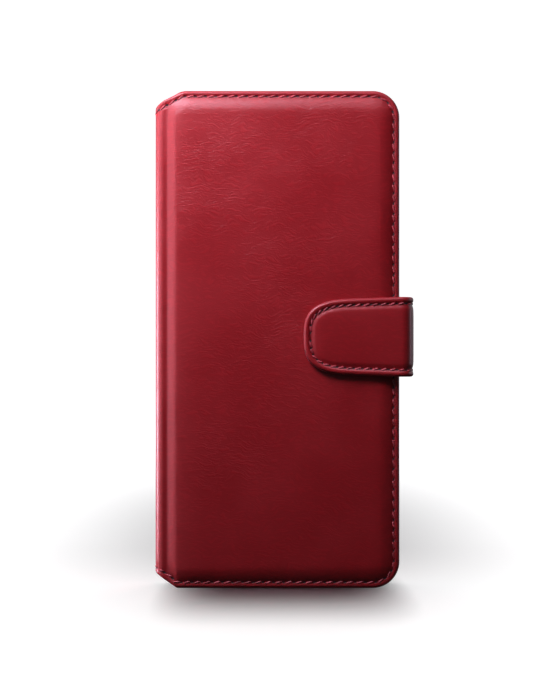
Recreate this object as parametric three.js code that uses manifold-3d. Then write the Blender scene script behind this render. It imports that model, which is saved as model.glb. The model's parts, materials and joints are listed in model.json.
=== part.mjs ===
// Phone wallet case: a leather folio with a padded front cover, a soft rounded spine, a back
// cover that carries a clip-in phone tray, and a magnetic tab that closes round the fore edge.
//
// Millimetres, +Z up. The closed case stands on its foot edge and its front faces -Y. The spine
// is on the -X side and the fore edge with the tab on the +X side. The origin is the middle of
// the foot, under the centre of the closed case's box.

import * as THREE from 'three';
import { mergeVertices } from 'three/addons/utils/BufferGeometryUtils.js';
import Module from 'manifold-3d';

const wasm = await Module();
wasm.setup();

// ---- Driving dimensions -------------------------------------------------------------------

// Closed case.
const CASE_HEIGHT = 173;
const CASE_WIDTH = 89.6; // rounded spine to the bulge of the tab
const CASE_DEPTH = 22.1; // back leather to the outside of the tab
const SPINE_BULGE = 3.8; // how far the spine stands out past the two fold lines
const TAB_BULGE = 4.9; // how far the tab stands out past the fore edge
const EASE = 0.1; // glue line or play between pieces that lie on each other
const STRAP_GAP = 0.3; // play between the closed tab and the padded front
const PAST = 1; // how far a cutter reaches past what it cuts

// Outline of the two covers.
const FORE_CORNER = 9.3; // radius of the two corners at the fore edge
const HEAD_RELIEF = { start: 7.6, radius: 12.2 }; // round cut towards the fold, at the head
const FOOT_RELIEF = { start: 4.8, radius: 7.5 }; // the same at the foot
const FOLD_GAP = 0.8; // bare leather left between a cover and its fold line
const HEAD_SADDLE = 7.2; // how deep the spine is cut away at the head, at its middle
const FOOT_SADDLE = 5.9;
const FOLD_DIP = 0.2; // how far the back leather dips towards its fold line
const FRONT_FOLD_PLAY = 0.75; // bare leather left between the front fold line and the spine
const BACK_FOLD_PLAY = 0.95;

// Layers of a cover, from the outside inwards.
const LEATHER = 0.9;
const BOARD = 1.1;
const LINING = 0.45;
const TURNED_EDGE = 1.1; // leather turned round the edge of the board
const LINING_INSET = 0.9;
const SWELL = { rise: 1.3, margin: 3.4, shoulder: 3.6 }; // padding of the front cover
const FOAM = 1.1;
const FOAM_INSET = 7.3;
const SPINE_STIFFENER = { thickness: 0.5, inset: 1.5 };
const SPINE_LINING_INSET = 0.5;

// Sewing.
const THREAD = { width: 0.6, height: 0.2 }; // lies flush in a shallow groove
const GROOVE_PLAY = 0.05; // under the thread
const SEAM_INSET = 2.1;
const SEAM_STOP = 1; // the seam stops this far from the fold side of a cover

// Phone tray, made for a phone of 165 x 71.5 x 8.3.
const PHONE = { width: 71.5, height: 165, depth: 8.3, corner: 8.5 };
const TRAY_WALL = 1.4;
const TRAY_FLOOR = 1.2;
const TRAY_LIP = { height: 0.8, overhang: 0.8 };
const TRAY_ROUND = { drop: 2.4, inset: 2.2 }; // rounding of the tray's back edge
const TRAY_PAD = { thickness: 0.3, inset: 6, corner: 3 };
const CAMERA = { x: 20, z: 143, width: 15, height: 30, corner: 6.5 };
const WINDOW_STEP = 0.8; // each layer's window is this much larger than the tray's
const KEY_SLOT = { bottom: 108, top: 136, sill: 3 }; // opening in both long walls
const PORT_SLOT = { width: 44, sill: 2.6 }; // opening in the wall at the foot
const JACK_SLOT = { x: -14, width: 10, sill: 2.6 }; // opening in the wall at the head

// Pockets on the inside of the front cover. All mouths face the spine.
const POCKET = 0.45;
const CASH_MOUTH = -29; // x of the cash pocket's mouth
const CARD_MOUTHS = [-20, -11, -2]; // x of the three card pockets' mouths
const CARD_BAY = { bottom: 40, top: 133 };
const POCKET_INSET = 1.6;
const THUMB_NOTCH = 8; // radius of the thumb cut in the middle of each card pocket's mouth

// Magnetic tab.
const TAB = { middle: 87.4, width: 27.7, straightX: 29, elbowX: 19.5 };
const TAB_TIP = { x: 6.5, width: 17, round: 4 };
const STRAP = 2; // whole thickness of the tab
const STRAP_SKIN = 0.7;
const STRAP_LINING = 0.6;
const ROOT_BEND = 3.9; // bend radius at the middle of the strap, where it leaves the back
const FRONT_BEND = 3.4; // the same where it turns onto the front
const BEND_CLEARANCE = 0.16; // half the angle left open at each bend, in radians
const ROOT_SETBACK = 0.08; // angle of the root bend that stays inside the back cover
const ROOT_TONGUE = { length: 21, reach: 0.8, width: 27, thickness: 0.9 };
const TAB_SEAM = 2.2;
const TAB_STIFFENER_INSET = 3.4;
const MAGNET = { radius: 4, thickness: 0.4, x: 17, spacing: 12, play: 0.3 };
const CATCH = { x: 17, width: 22, height: 26, corner: 2, thickness: 0.45, play: 0.5 };

// ---- Derived places -----------------------------------------------------------------------

const FORE_EDGE = CASE_WIDTH / 2 - TAB_BULGE;
const FOLD_X = -CASE_WIDTH / 2 + SPINE_BULGE;
const COVER_FOLD = FOLD_X + FOLD_GAP;
const MIDDLE_Z = CASE_HEIGHT / 2;

// Depth of each layer, front to back. The names give the face that looks to the front (-Y),
// except those ending in _BACK.
const TAB_FRONT = -CASE_DEPTH / 2;
const SWELL_FRONT = TAB_FRONT + STRAP + STRAP_GAP;
const MARGIN_FRONT = SWELL_FRONT + SWELL.rise;
const FRONT_BOARD = MARGIN_FRONT + LEATHER + EASE;
const FOAM_FRONT = FRONT_BOARD - EASE - FOAM;
const FRONT_LINING = FRONT_BOARD + BOARD + EASE;
const CASH_POCKET = FRONT_LINING + LINING + EASE;

const BACK_FACE = CASE_DEPTH / 2;
const BACK_BOARD = BACK_FACE - LEATHER - EASE - BOARD;
const BACK_LINING = BACK_BOARD - EASE - LINING;
const TRAY_BACK = BACK_LINING - EASE - TRAY_PAD.thickness - EASE;
const TRAY_INSIDE = TRAY_BACK - TRAY_FLOOR;
const TRAY_LIP_BACK = TRAY_INSIDE - PHONE.depth;
const TRAY_FRONT = TRAY_LIP_BACK - TRAY_LIP.height;

// The two fold lines of the spine, and the span of the spine between them.
const FRONT_FOLD_Y = MARGIN_FRONT + LEATHER / 2;
const BACK_FOLD_Y = BACK_FACE - LEATHER / 2 - FOLD_DIP;
const SPINE_FRONT = FRONT_FOLD_Y + FRONT_FOLD_PLAY;
const SPINE_BACK = BACK_FOLD_Y - BACK_FOLD_PLAY;

// Centres of the strap's two bends, and the end of its flat stretch on the front.
const STRAP_MIDDLE_X = CASE_WIDTH / 2 - STRAP / 2;
const ROOT_MIDDLE_Y = BACK_BOARD + BOARD / 2;
const ROOT_CENTRE = new THREE.Vector2(STRAP_MIDDLE_X - ROOT_BEND, ROOT_MIDDLE_Y - ROOT_BEND);
const FRONT_CENTRE = new THREE.Vector2(
  STRAP_MIDDLE_X - FRONT_BEND,
  TAB_FRONT + STRAP / 2 + FRONT_BEND,
);
const TAB_FLAT_END = FRONT_CENTRE.x - 1;

const QUARTER = Math.PI / 2;

// ---- Solids -------------------------------------------------------------------------------

// The manifold solid of a closed geometry.
function solid(geometry) {
  const bare = geometry.index ? geometry.toNonIndexed() : geometry.clone();
  bare.deleteAttribute('normal');
  bare.deleteAttribute('uv');
  const welded = mergeVertices(bare, 1e-4);
  return new wasm.Manifold(
    new wasm.Mesh({
      numProp: 3,
      vertProperties: new Float32Array(welded.attributes.position.array),
      triVerts: new Uint32Array(welded.index.array),
    }),
  );
}

// The geometry of a manifold solid.
function geometryOf(manifold) {
  const { vertProperties, triVerts } = manifold.getMesh();
  const geometry = new THREE.BufferGeometry();
  geometry.setAttribute('position', new THREE.BufferAttribute(vertProperties, 3));
  geometry.setIndex(new THREE.BufferAttribute(triVerts, 1));
  return geometry;
}

// A sheet: an outline drawn in X and Z, with its thickness along Y from front to back.
function sheet(outline, front, back, curveSegments = 4) {
  const geometry = new THREE.ExtrudeGeometry(outline, {
    depth: back - front,
    bevelEnabled: false,
    curveSegments,
  });
  return solid(geometry.rotateX(QUARTER).translate(0, back, 0));
}

// A bar: a section drawn in X and Y, running along Z from bottom to top.
function bar(section, bottom, top, curveSegments = 4) {
  const geometry = new THREE.ExtrudeGeometry(section, {
    depth: top - bottom,
    bevelEnabled: false,
    curveSegments,
  });
  return solid(geometry.translate(0, 0, bottom));
}

// A box between two corners.
function block(low, high) {
  const size = high.map((value, axis) => value - low[axis]);
  const centre = high.map((value, axis) => (value + low[axis]) / 2);
  return solid(new THREE.BoxGeometry(...size).translate(...centre));
}

// A rounded rectangle around a centre.
function roundedRectangle(x, z, width, height, radius) {
  const right = x + width / 2 - radius;
  const left = x - width / 2 + radius;
  const top = z + height / 2 - radius;
  const bottom = z - height / 2 + radius;
  const shape = new THREE.Shape();
  shape.absarc(right, bottom, radius, -QUARTER, 0);
  shape.absarc(right, top, radius, 0, QUARTER);
  shape.absarc(left, top, radius, QUARTER, 2 * QUARTER);
  shape.absarc(left, bottom, radius, 2 * QUARTER, 3 * QUARTER);
  shape.closePath();
  return shape;
}

// Adds a cover's corner at the fold, at the head (end = 1) or the foot (end = -1): a round
// relief, or a plain corner where the fold side is drawn further in than the relief reaches.
function addFoldCorner(shape, relief, end, inset, fold) {
  const centreX = FOLD_X + relief.start;
  const radius = relief.radius - inset;
  const edge = end > 0 ? CASE_HEIGHT - inset : inset;
  if (fold >= centreX) {
    shape.lineTo(fold, edge);
    return;
  }
  const turn = Math.acos((fold - centreX) / radius);
  const from = end > 0 ? QUARTER : -turn;
  const to = end > 0 ? turn : -QUARTER;
  shape.absarc(centreX, edge - end * radius, radius, from, to);
}

// The outline of a cover, drawn inset from the real one. The fold side is the straight line at
// x = fold, and the outline falls away towards it at the head and the foot.
function coverOutline(inset, fold = COVER_FOLD + inset) {
  const corner = FORE_CORNER - inset;
  const cornerX = FORE_EDGE - FORE_CORNER;
  const shape = new THREE.Shape();
  shape.absarc(cornerX, FORE_CORNER, corner, -QUARTER, 0);
  shape.absarc(cornerX, CASE_HEIGHT - FORE_CORNER, corner, 0, QUARTER);
  addFoldCorner(shape, HEAD_RELIEF, 1, inset, fold);
  addFoldCorner(shape, FOOT_RELIEF, -1, inset, fold);
  shape.closePath();
  return shape;
}

// The line of a cover's seam between two depths: it follows the outline at the seam's inset and
// stops at the fold. With no play it is the thread, and with play the groove that it lies in.
function coverSeam(front, back, play) {
  const half = THREAD.width / 2 + play;
  const end = COVER_FOLD + SEAM_STOP - play;
  const outer = sheet(coverOutline(SEAM_INSET - half, end), front, back);
  const inner = sheet(coverOutline(SEAM_INSET + half, end - PAST), front - PAST, back + PAST);
  return outer.subtract(inner);
}

// ---- Front cover --------------------------------------------------------------------------

// The padded field of the front cover: a rounded swell that stands out of the flat margin.
function frontSwell() {
  const root = LEATHER / 2;
  const swell = new THREE.ExtrudeGeometry(coverOutline(SWELL.margin + SWELL.shoulder), {
    depth: root,
    bevelThickness: SWELL.rise,
    bevelSize: SWELL.shoulder,
    bevelSegments: 3,
    curveSegments: 4,
  });
  swell.rotateX(QUARTER).translate(0, MARGIN_FRONT + root, 0);
  const behind = block(
    [-CASE_WIDTH, MARGIN_FRONT + root, -CASE_HEIGHT],
    [CASE_WIDTH, MARGIN_FRONT + CASE_DEPTH, 2 * CASE_HEIGHT],
  );
  return solid(swell).subtract(behind);
}

function frontCoverLeather() {
  const foamBed = sheet(coverOutline(FOAM_INSET - EASE), FOAM_FRONT - EASE, FRONT_LINING);
  const boardBed = sheet(
    coverOutline(TURNED_EDGE, COVER_FOLD - PAST),
    MARGIN_FRONT + LEATHER,
    FRONT_LINING,
  );
  const grooveFloor = MARGIN_FRONT + THREAD.height + GROOVE_PLAY;
  const groove = coverSeam(MARGIN_FRONT - PAST, grooveFloor, EASE);
  return sheet(coverOutline(0), MARGIN_FRONT, FRONT_LINING - EASE)
    .add(frontSwell())
    .subtract(boardBed)
    .subtract(foamBed)
    .subtract(groove);
}

function frontCoverFoam() {
  const halfWidth = CATCH.width / 2 + CATCH.play;
  const halfHeight = CATCH.height / 2 + CATCH.play;
  const catchBed = block(
    [CATCH.x - halfWidth, FOAM_FRONT - PAST, TAB.middle - halfHeight],
    [CATCH.x + halfWidth, FRONT_BOARD, TAB.middle + halfHeight],
  );
  return sheet(coverOutline(FOAM_INSET), FOAM_FRONT, FRONT_BOARD - EASE).subtract(catchBed);
}

function catchPlate() {
  const { x, width, height, corner } = CATCH;
  const outline = roundedRectangle(x, TAB.middle, width, height, corner);
  return sheet(outline, FRONT_BOARD - EASE - CATCH.thickness, FRONT_BOARD - EASE);
}

// A pocket panel on the inside of the front cover, with its mouth at x = mouth.
function pocketPanel(mouth, bottom, top, front) {
  const field = sheet(coverOutline(POCKET_INSET), front, front + POCKET);
  const cut = block([mouth, front - PAST, bottom], [FORE_EDGE, front + POCKET + PAST, top]);
  return field.intersect(cut);
}

function cardPocket(index) {
  const front = CASH_POCKET + (index + 1) * (POCKET + EASE / 2);
  const mouth = CARD_MOUTHS[index];
  const middle = (CARD_BAY.bottom + CARD_BAY.top) / 2;
  const thumb = new THREE.Shape();
  thumb.absarc(mouth - THUMB_NOTCH / 2, middle, THUMB_NOTCH, 0, 4 * QUARTER);
  return pocketPanel(mouth, CARD_BAY.bottom, CARD_BAY.top, front)
    .subtract(sheet(thumb, front - PAST, front + POCKET + PAST));
}

// The thread along one end of the card pockets, stepping down over their mouths.
function cardSeam(z) {
  const start = CARD_MOUTHS[CARD_MOUTHS.length - 1];
  const face = CASH_POCKET + (CARD_MOUTHS.length + 1) * (POCKET + EASE / 2);
  const end = FORE_EDGE - SEAM_INSET;
  return block(
    [start, face, z - THREAD.width / 2],
    [end, face + THREAD.height / 2, z + THREAD.width / 2],
  );
}

// ---- Spine --------------------------------------------------------------------------------

// One layer of the rounded spine, from an outer to an inner depth under its surface. The layer
// starts at the fold line, rounds out to the side and comes back to the other fold line.
function spineSection(outerDepth, innerDepth) {
  const outer = SPINE_BULGE - outerDepth;
  const inner = SPINE_BULGE - innerDepth;
  const backCentre = SPINE_BACK - SPINE_BULGE;
  const frontCentre = SPINE_FRONT + SPINE_BULGE;
  const section = new THREE.Shape();
  section.absarc(FOLD_X, backCentre, outer, QUARTER, 2 * QUARTER);
  section.absarc(FOLD_X, frontCentre, outer, 2 * QUARTER, 3 * QUARTER);
  section.absarc(FOLD_X, frontCentre, inner, 3 * QUARTER, 2 * QUARTER, true);
  section.absarc(FOLD_X, backCentre, inner, 2 * QUARTER, QUARTER, true);
  section.closePath();
  return section;
}

// The cylinder that hollows one end of the spine: depth away at the middle, and only as much as
// the cover beside it at the two folds.
function saddle(depth, foldDepth, height) {
  const halfSpan = (BACK_FOLD_Y - FRONT_FOLD_Y) / 2;
  const fall = depth - foldDepth;
  const radius = (halfSpan ** 2 + fall ** 2) / (2 * fall);
  const above = height > MIDDLE_Z ? 1 : -1;
  const cutter = new THREE.CylinderGeometry(radius, radius, 4 * SPINE_BULGE, 48);
  cutter.rotateZ(QUARTER);
  cutter.translate(
    FOLD_X - SPINE_BULGE,
    (BACK_FOLD_Y + FRONT_FOLD_Y) / 2,
    height + above * (radius - depth),
  );
  return solid(cutter);
}

// How far a cover's outline has fallen away from the head or the foot at the fold line.
function reliefAtFold({ start, radius }) {
  return radius - Math.sqrt(radius ** 2 - start ** 2);
}

function spineLayer(outerDepth, innerDepth, inset) {
  const headFold = reliefAtFold(HEAD_RELIEF);
  const footFold = reliefAtFold(FOOT_RELIEF);
  const bottom = footFold + inset;
  const top = CASE_HEIGHT - headFold - inset;
  return bar(spineSection(outerDepth, innerDepth), bottom, top)
    .subtract(saddle(HEAD_SADDLE + inset, headFold + inset, CASE_HEIGHT))
    .subtract(saddle(FOOT_SADDLE + inset, footFold + inset, 0));
}

// ---- Back cover ---------------------------------------------------------------------------

// The camera window as a cutter, grown for the layers outside the tray.
function cameraWindow(grow) {
  const width = CAMERA.width + 2 * grow;
  const height = CAMERA.height + 2 * grow;
  const outline = roundedRectangle(CAMERA.x, CAMERA.z, width, height, CAMERA.corner + grow);
  return sheet(outline, TRAY_INSIDE - PAST, BACK_FACE + PAST, 5);
}

// The space that the tab's tongue takes in the back cover, with a play all round.
function tongueSpace(play) {
  const half = ROOT_TONGUE.width / 2 + play;
  const thickness = ROOT_TONGUE.thickness / 2 + play;
  return block(
    [FORE_EDGE - ROOT_TONGUE.length - play, ROOT_MIDDLE_Y - thickness, TAB.middle - half],
    [FORE_EDGE + ROOT_TONGUE.reach, ROOT_MIDDLE_Y + thickness, TAB.middle + half],
  );
}

function backCoverLeather() {
  const boardBed = sheet(
    coverOutline(TURNED_EDGE, COVER_FOLD - PAST),
    BACK_LINING,
    BACK_FACE - LEATHER,
  );
  const groove = coverSeam(BACK_FACE - THREAD.height - GROOVE_PLAY, BACK_FACE + PAST, EASE);
  return sheet(coverOutline(0), BACK_BOARD, BACK_FACE)
    .subtract(boardBed)
    .subtract(groove)
    .subtract(tongueSpace(EASE))
    .subtract(cameraWindow(2 * WINDOW_STEP));
}

function backCoverBoard() {
  const half = ROOT_TONGUE.width / 2 + EASE;
  const notch = block(
    [FORE_EDGE - ROOT_TONGUE.length - EASE, BACK_LINING, TAB.middle - half],
    [FORE_EDGE + PAST, BACK_FACE, TAB.middle + half],
  );
  return sheet(coverOutline(TURNED_EDGE + EASE), BACK_BOARD, BACK_BOARD + BOARD)
    .subtract(notch)
    .subtract(cameraWindow(2 * WINDOW_STEP));
}

function backCoverLining() {
  return sheet(coverOutline(LINING_INSET), BACK_LINING, BACK_LINING + LINING)
    .subtract(cameraWindow(2 * WINDOW_STEP));
}

function trayPad() {
  const width = PHONE.width - 2 * TRAY_PAD.inset;
  const height = PHONE.height - 2 * TRAY_PAD.inset;
  const outline = roundedRectangle(0, MIDDLE_Z, width, height, TRAY_PAD.corner);
  const front = TRAY_BACK + EASE;
  return sheet(outline, front, front + TRAY_PAD.thickness).subtract(cameraWindow(WINDOW_STEP));
}

// The hard shell that grips the phone: a floor, walls all round and a small lip over them.
function phoneTray() {
  const outerWidth = PHONE.width + 2 * TRAY_WALL;
  const outerHeight = PHONE.height + 2 * TRAY_WALL;
  const outerCorner = PHONE.corner + TRAY_WALL;
  const shell = new THREE.ExtrudeGeometry(
    roundedRectangle(
      0,
      MIDDLE_Z,
      outerWidth - 2 * TRAY_ROUND.inset,
      outerHeight - 2 * TRAY_ROUND.inset,
      outerCorner - TRAY_ROUND.inset,
    ),
    {
      depth: TRAY_BACK - TRAY_FRONT,
      bevelThickness: TRAY_ROUND.drop,
      bevelSize: TRAY_ROUND.inset,
      bevelSegments: 3,
      curveSegments: 6,
    },
  );
  shell.rotateX(QUARTER).translate(0, TRAY_BACK - TRAY_ROUND.drop, 0);
  const above = block(
    [-outerWidth, TRAY_FRONT - outerWidth, -CASE_HEIGHT],
    [outerWidth, TRAY_FRONT, 2 * CASE_HEIGHT],
  );
  const hollow = roundedRectangle(0, MIDDLE_Z, PHONE.width, PHONE.height, PHONE.corner);
  const mouth = roundedRectangle(
    0,
    MIDDLE_Z,
    PHONE.width - 2 * TRAY_LIP.overhang,
    PHONE.height - 2 * TRAY_LIP.overhang,
    PHONE.corner - TRAY_LIP.overhang,
  );
  const outOfTray = TRAY_FRONT - PAST;
  const headWall = MIDDLE_Z + outerHeight / 2;
  const footWall = MIDDLE_Z - outerHeight / 2;
  const keySlots = block(
    [-outerWidth, outOfTray, KEY_SLOT.bottom],
    [outerWidth, TRAY_INSIDE - KEY_SLOT.sill, KEY_SLOT.top],
  );
  const portSlot = block(
    [-PORT_SLOT.width / 2, outOfTray, footWall - PAST],
    [PORT_SLOT.width / 2, TRAY_INSIDE - PORT_SLOT.sill, footWall + PHONE.corner],
  );
  const jackSlot = block(
    [JACK_SLOT.x - JACK_SLOT.width / 2, outOfTray, headWall - PHONE.corner],
    [JACK_SLOT.x + JACK_SLOT.width / 2, TRAY_INSIDE - JACK_SLOT.sill, headWall + PAST],
  );
  return solid(shell)
    .subtract(above)
    .subtract(sheet(hollow, TRAY_LIP_BACK, TRAY_INSIDE, 6))
    .subtract(sheet(mouth, outOfTray, TRAY_LIP_BACK + PAST, 6))
    .subtract(keySlots)
    .subtract(portSlot)
    .subtract(jackSlot)
    .subtract(cameraWindow(0));
}

// ---- Magnetic tab -------------------------------------------------------------------------

// The outline of the tab on the front, from the bend to the round tip: straight edges, a curve
// round each elbow down to the corner of the tip, and a flatter curve across the tip.
function tabOutline(inset, rootX) {
  const half = TAB.width / 2 - inset;
  const tip = TAB_TIP.x + inset;
  const cornerX = tip + TAB_TIP.round;
  const corner = TAB_TIP.width / 2 - inset + TAB_TIP.round / 4;
  const pull = TAB_TIP.width / 2 - inset - TAB_TIP.round / 2;
  const z = TAB.middle;
  const shape = new THREE.Shape();
  shape.moveTo(rootX, z - half);
  shape.lineTo(rootX, z + half);
  shape.lineTo(TAB.straightX, z + half);
  shape.quadraticCurveTo(TAB.elbowX, z + half, cornerX, z + corner);
  shape.quadraticCurveTo(tip, z + pull, tip, z);
  shape.quadraticCurveTo(tip, z - pull, cornerX, z - corner);
  shape.quadraticCurveTo(TAB.elbowX, z - half, TAB.straightX, z - half);
  shape.closePath();
  return shape;
}

// A curved layer of the strap around a bend's centre, between two radii and two angles, as wide
// as the tab.
function bendLayer(centre, inner, outer, from, to) {
  const section = new THREE.Shape();
  section.absarc(centre.x, centre.y, outer, from, to);
  section.absarc(centre.x, centre.y, inner, to, from, true);
  section.closePath();
  return bar(section, TAB.middle - TAB.width / 2, TAB.middle + TAB.width / 2, 5);
}

// One flat layer of the tab on the front with its half of the front bend. Depths are counted
// from the outside of the strap.
function flapLayer(outerDepth, innerDepth) {
  const outer = FRONT_BEND + STRAP / 2 - outerDepth;
  const inner = FRONT_BEND + STRAP / 2 - innerDepth;
  const bend = bendLayer(
    FRONT_CENTRE,
    inner,
    outer,
    -QUARTER,
    -QUARTER / 2 - BEND_CLEARANCE,
  );
  const flat = sheet(
    tabOutline(0, FRONT_CENTRE.x),
    TAB_FRONT + outerDepth,
    TAB_FRONT + innerDepth,
  );
  return flat.add(bend);
}

// One layer of the bridge round the fore edge: half of each bend, and the straight stretch
// between them.
function bridgeLayer(outerDepth, innerDepth) {
  const outer = STRAP / 2 - outerDepth;
  const inner = STRAP / 2 - innerDepth;
  const start = QUARTER / 2 - BEND_CLEARANCE;
  const section = new THREE.Shape();
  const root = ROOT_CENTRE;
  const front = FRONT_CENTRE;
  section.absarc(front.x, front.y, FRONT_BEND + outer, -start, 0);
  section.absarc(root.x, root.y, ROOT_BEND + outer, 0, start);
  section.absarc(root.x, root.y, ROOT_BEND + inner, start, 0, true);
  section.absarc(front.x, front.y, FRONT_BEND + inner, 0, -start, true);
  section.closePath();
  return bar(section, TAB.middle - TAB.width / 2, TAB.middle + TAB.width / 2, 5);
}

// The end of the strap that is sewn into the back cover, with its half of the root bend.
function tabRoot() {
  const bend = bendLayer(
    ROOT_CENTRE,
    ROOT_BEND - STRAP / 2,
    ROOT_BEND + STRAP / 2,
    QUARTER / 2 + BEND_CLEARANCE,
    QUARTER - ROOT_SETBACK,
  );
  return bend.add(tongueSpace(0));
}

function tabStiffener() {
  const front = TAB_FRONT + STRAP_SKIN + EASE;
  const back = TAB_FRONT + STRAP - STRAP_LINING - EASE;
  const magnetHole = (z) => {
    const hole = new THREE.Shape();
    hole.absarc(MAGNET.x, z, MAGNET.radius + MAGNET.play, 0, 4 * QUARTER);
    return sheet(hole, front - PAST, back + PAST, 10);
  };
  return sheet(tabOutline(TAB_STIFFENER_INSET, TAB_FLAT_END), front, back)
    .subtract(magnetHole(TAB.middle + MAGNET.spacing / 2))
    .subtract(magnetHole(TAB.middle - MAGNET.spacing / 2));
}

function tabMagnet(z) {
  const front = TAB_FRONT + STRAP_SKIN + EASE;
  const disc = new THREE.CylinderGeometry(MAGNET.radius, MAGNET.radius, MAGNET.thickness, 24);
  return solid(disc.translate(MAGNET.x, front + MAGNET.thickness / 2, z));
}

// The line of the tab's seam between two depths, as thread or, with play, as its groove.
function tabSeam(front, back, play) {
  const half = THREAD.width / 2 + play;
  const end = TAB_FLAT_END + play;
  const outer = sheet(tabOutline(TAB_SEAM - half, end), front, back);
  const inner = sheet(tabOutline(TAB_SEAM + half, end + PAST), front - PAST, back + PAST);
  return outer.subtract(inner);
}

function tabFlapLeather() {
  const groove = tabSeam(TAB_FRONT - PAST, TAB_FRONT + THREAD.height + GROOVE_PLAY, EASE);
  return flapLayer(0, STRAP_SKIN).subtract(groove);
}

// ---- Materials ----------------------------------------------------------------------------

const RED_LEATHER = { color: 0xa8202e, roughness: 0.5, metalness: 0 };
const RED_LINING = { color: 0x8c1f2a, roughness: 0.85, metalness: 0 };
const RED_THREAD = { color: 0xb03341, roughness: 0.6, metalness: 0 };
const GREY_BOARD = { color: 0x8a857c, roughness: 0.95, metalness: 0 };
const WHITE_FOAM = { color: 0xd9d6cf, roughness: 0.95, metalness: 0 };
const RED_PLASTIC = { color: 0x8f1d28, roughness: 0.4, metalness: 0 };
const TAPE = { color: 0x2a2a2c, roughness: 0.8, metalness: 0 };
const STEEL = { color: 0x9ea3a8, roughness: 0.35, metalness: 1 };
const NICKEL = { color: 0xb9b6ae, roughness: 0.25, metalness: 1 };

// ---- Assembly -----------------------------------------------------------------------------

const phoneWalletCase = new THREE.Group();

function place(name, manifold, finish) {
  const mesh = new THREE.Mesh(geometryOf(manifold), new THREE.MeshStandardMaterial(finish));
  mesh.name = name;
  phoneWalletCase.add(mesh);
}

place('front_cover_leather', frontCoverLeather(), RED_LEATHER);
place('front_cover_foam', frontCoverFoam(), WHITE_FOAM);
place('front_catch_plate', catchPlate(), STEEL);
place(
  'front_cover_board',
  sheet(coverOutline(TURNED_EDGE + EASE), FRONT_BOARD, FRONT_BOARD + BOARD),
  GREY_BOARD,
);
place(
  'front_cover_lining',
  sheet(coverOutline(LINING_INSET), FRONT_LINING, FRONT_LINING + LINING),
  RED_LINING,
);
place('front_seam', coverSeam(MARGIN_FRONT, MARGIN_FRONT + THREAD.height, 0), RED_THREAD);
place('cash_pocket', pocketPanel(CASH_MOUTH, 0, CASE_HEIGHT, CASH_POCKET), RED_LINING);
CARD_MOUTHS.forEach((mouth, index) => {
  place(`card_pocket_${index + 1}`, cardPocket(index), RED_LEATHER);
});
place('card_seam_upper', cardSeam(CARD_BAY.top - SEAM_INSET), RED_THREAD);
place('card_seam_lower', cardSeam(CARD_BAY.bottom + SEAM_INSET), RED_THREAD);

const spineStiffenerDepth = LEATHER + EASE;
const spineLiningDepth = spineStiffenerDepth + SPINE_STIFFENER.thickness + EASE;
place('spine_leather', spineLayer(0, LEATHER, 0), RED_LEATHER);
place(
  'spine_stiffener',
  spineLayer(spineStiffenerDepth, spineLiningDepth - EASE, SPINE_STIFFENER.inset),
  GREY_BOARD,
);
place(
  'spine_lining',
  spineLayer(spineLiningDepth, spineLiningDepth + LINING, SPINE_LINING_INSET),
  RED_LINING,
);

place('back_cover_leather', backCoverLeather(), RED_LEATHER);
place('back_cover_board', backCoverBoard(), GREY_BOARD);
place('back_cover_lining', backCoverLining(), RED_LINING);
place('back_seam', coverSeam(BACK_FACE - THREAD.height, BACK_FACE, 0), RED_THREAD);
place('tray_pad', trayPad(), TAPE);
place('phone_tray', phoneTray(), RED_PLASTIC);
place('tab_root', tabRoot(), RED_LEATHER);

place('tab_bridge_leather', bridgeLayer(0, STRAP_SKIN), RED_LEATHER);
place('tab_bridge_lining', bridgeLayer(STRAP_SKIN + EASE, STRAP), RED_LINING);
place('tab_flap_leather', tabFlapLeather(), RED_LEATHER);
place('tab_flap_lining', flapLayer(STRAP - STRAP_LINING, STRAP), RED_LINING);
place('tab_stiffener', tabStiffener(), WHITE_FOAM);
place('tab_magnet_upper', tabMagnet(TAB.middle + MAGNET.spacing / 2), NICKEL);
place('tab_magnet_lower', tabMagnet(TAB.middle - MAGNET.spacing / 2), NICKEL);
place('tab_seam', tabSeam(TAB_FRONT, TAB_FRONT + THREAD.height, 0), RED_THREAD);

export default phoneWalletCase;
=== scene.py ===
"""The looks of the phone wallet case: leather, linings, pockets, sewing, tray and magnetic tab.

All shapes are worked out in millimetres in the case's own frame: +Z runs up the closed, standing
case, -Y is the side of the padded front cover, -X the side of the rounded spine and +X the fore
edge, which the tab closes. Meshes are handed to Blender in metres.
"""

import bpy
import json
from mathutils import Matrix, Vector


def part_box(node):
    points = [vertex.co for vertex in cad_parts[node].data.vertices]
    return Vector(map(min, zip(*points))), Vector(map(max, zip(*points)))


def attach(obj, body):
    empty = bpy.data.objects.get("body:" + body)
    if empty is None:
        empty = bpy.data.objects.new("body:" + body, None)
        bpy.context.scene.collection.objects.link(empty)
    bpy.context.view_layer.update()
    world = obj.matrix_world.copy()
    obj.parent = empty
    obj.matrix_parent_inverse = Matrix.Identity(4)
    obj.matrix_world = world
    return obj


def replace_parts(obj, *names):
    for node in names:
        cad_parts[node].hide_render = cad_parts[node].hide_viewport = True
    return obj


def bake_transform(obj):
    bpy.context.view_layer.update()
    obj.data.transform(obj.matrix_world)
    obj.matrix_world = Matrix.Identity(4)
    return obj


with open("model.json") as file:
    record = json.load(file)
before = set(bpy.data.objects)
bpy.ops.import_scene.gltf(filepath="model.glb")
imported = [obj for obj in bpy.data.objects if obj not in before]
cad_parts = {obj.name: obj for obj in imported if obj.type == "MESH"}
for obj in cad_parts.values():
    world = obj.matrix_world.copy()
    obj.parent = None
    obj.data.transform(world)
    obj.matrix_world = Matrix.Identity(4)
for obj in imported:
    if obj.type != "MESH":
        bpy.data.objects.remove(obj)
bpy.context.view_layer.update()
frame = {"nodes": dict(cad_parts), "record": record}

import copy
import json
import logging
import math
from dataclasses import dataclass, field
from enum import Enum
from typing import Callable

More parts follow.
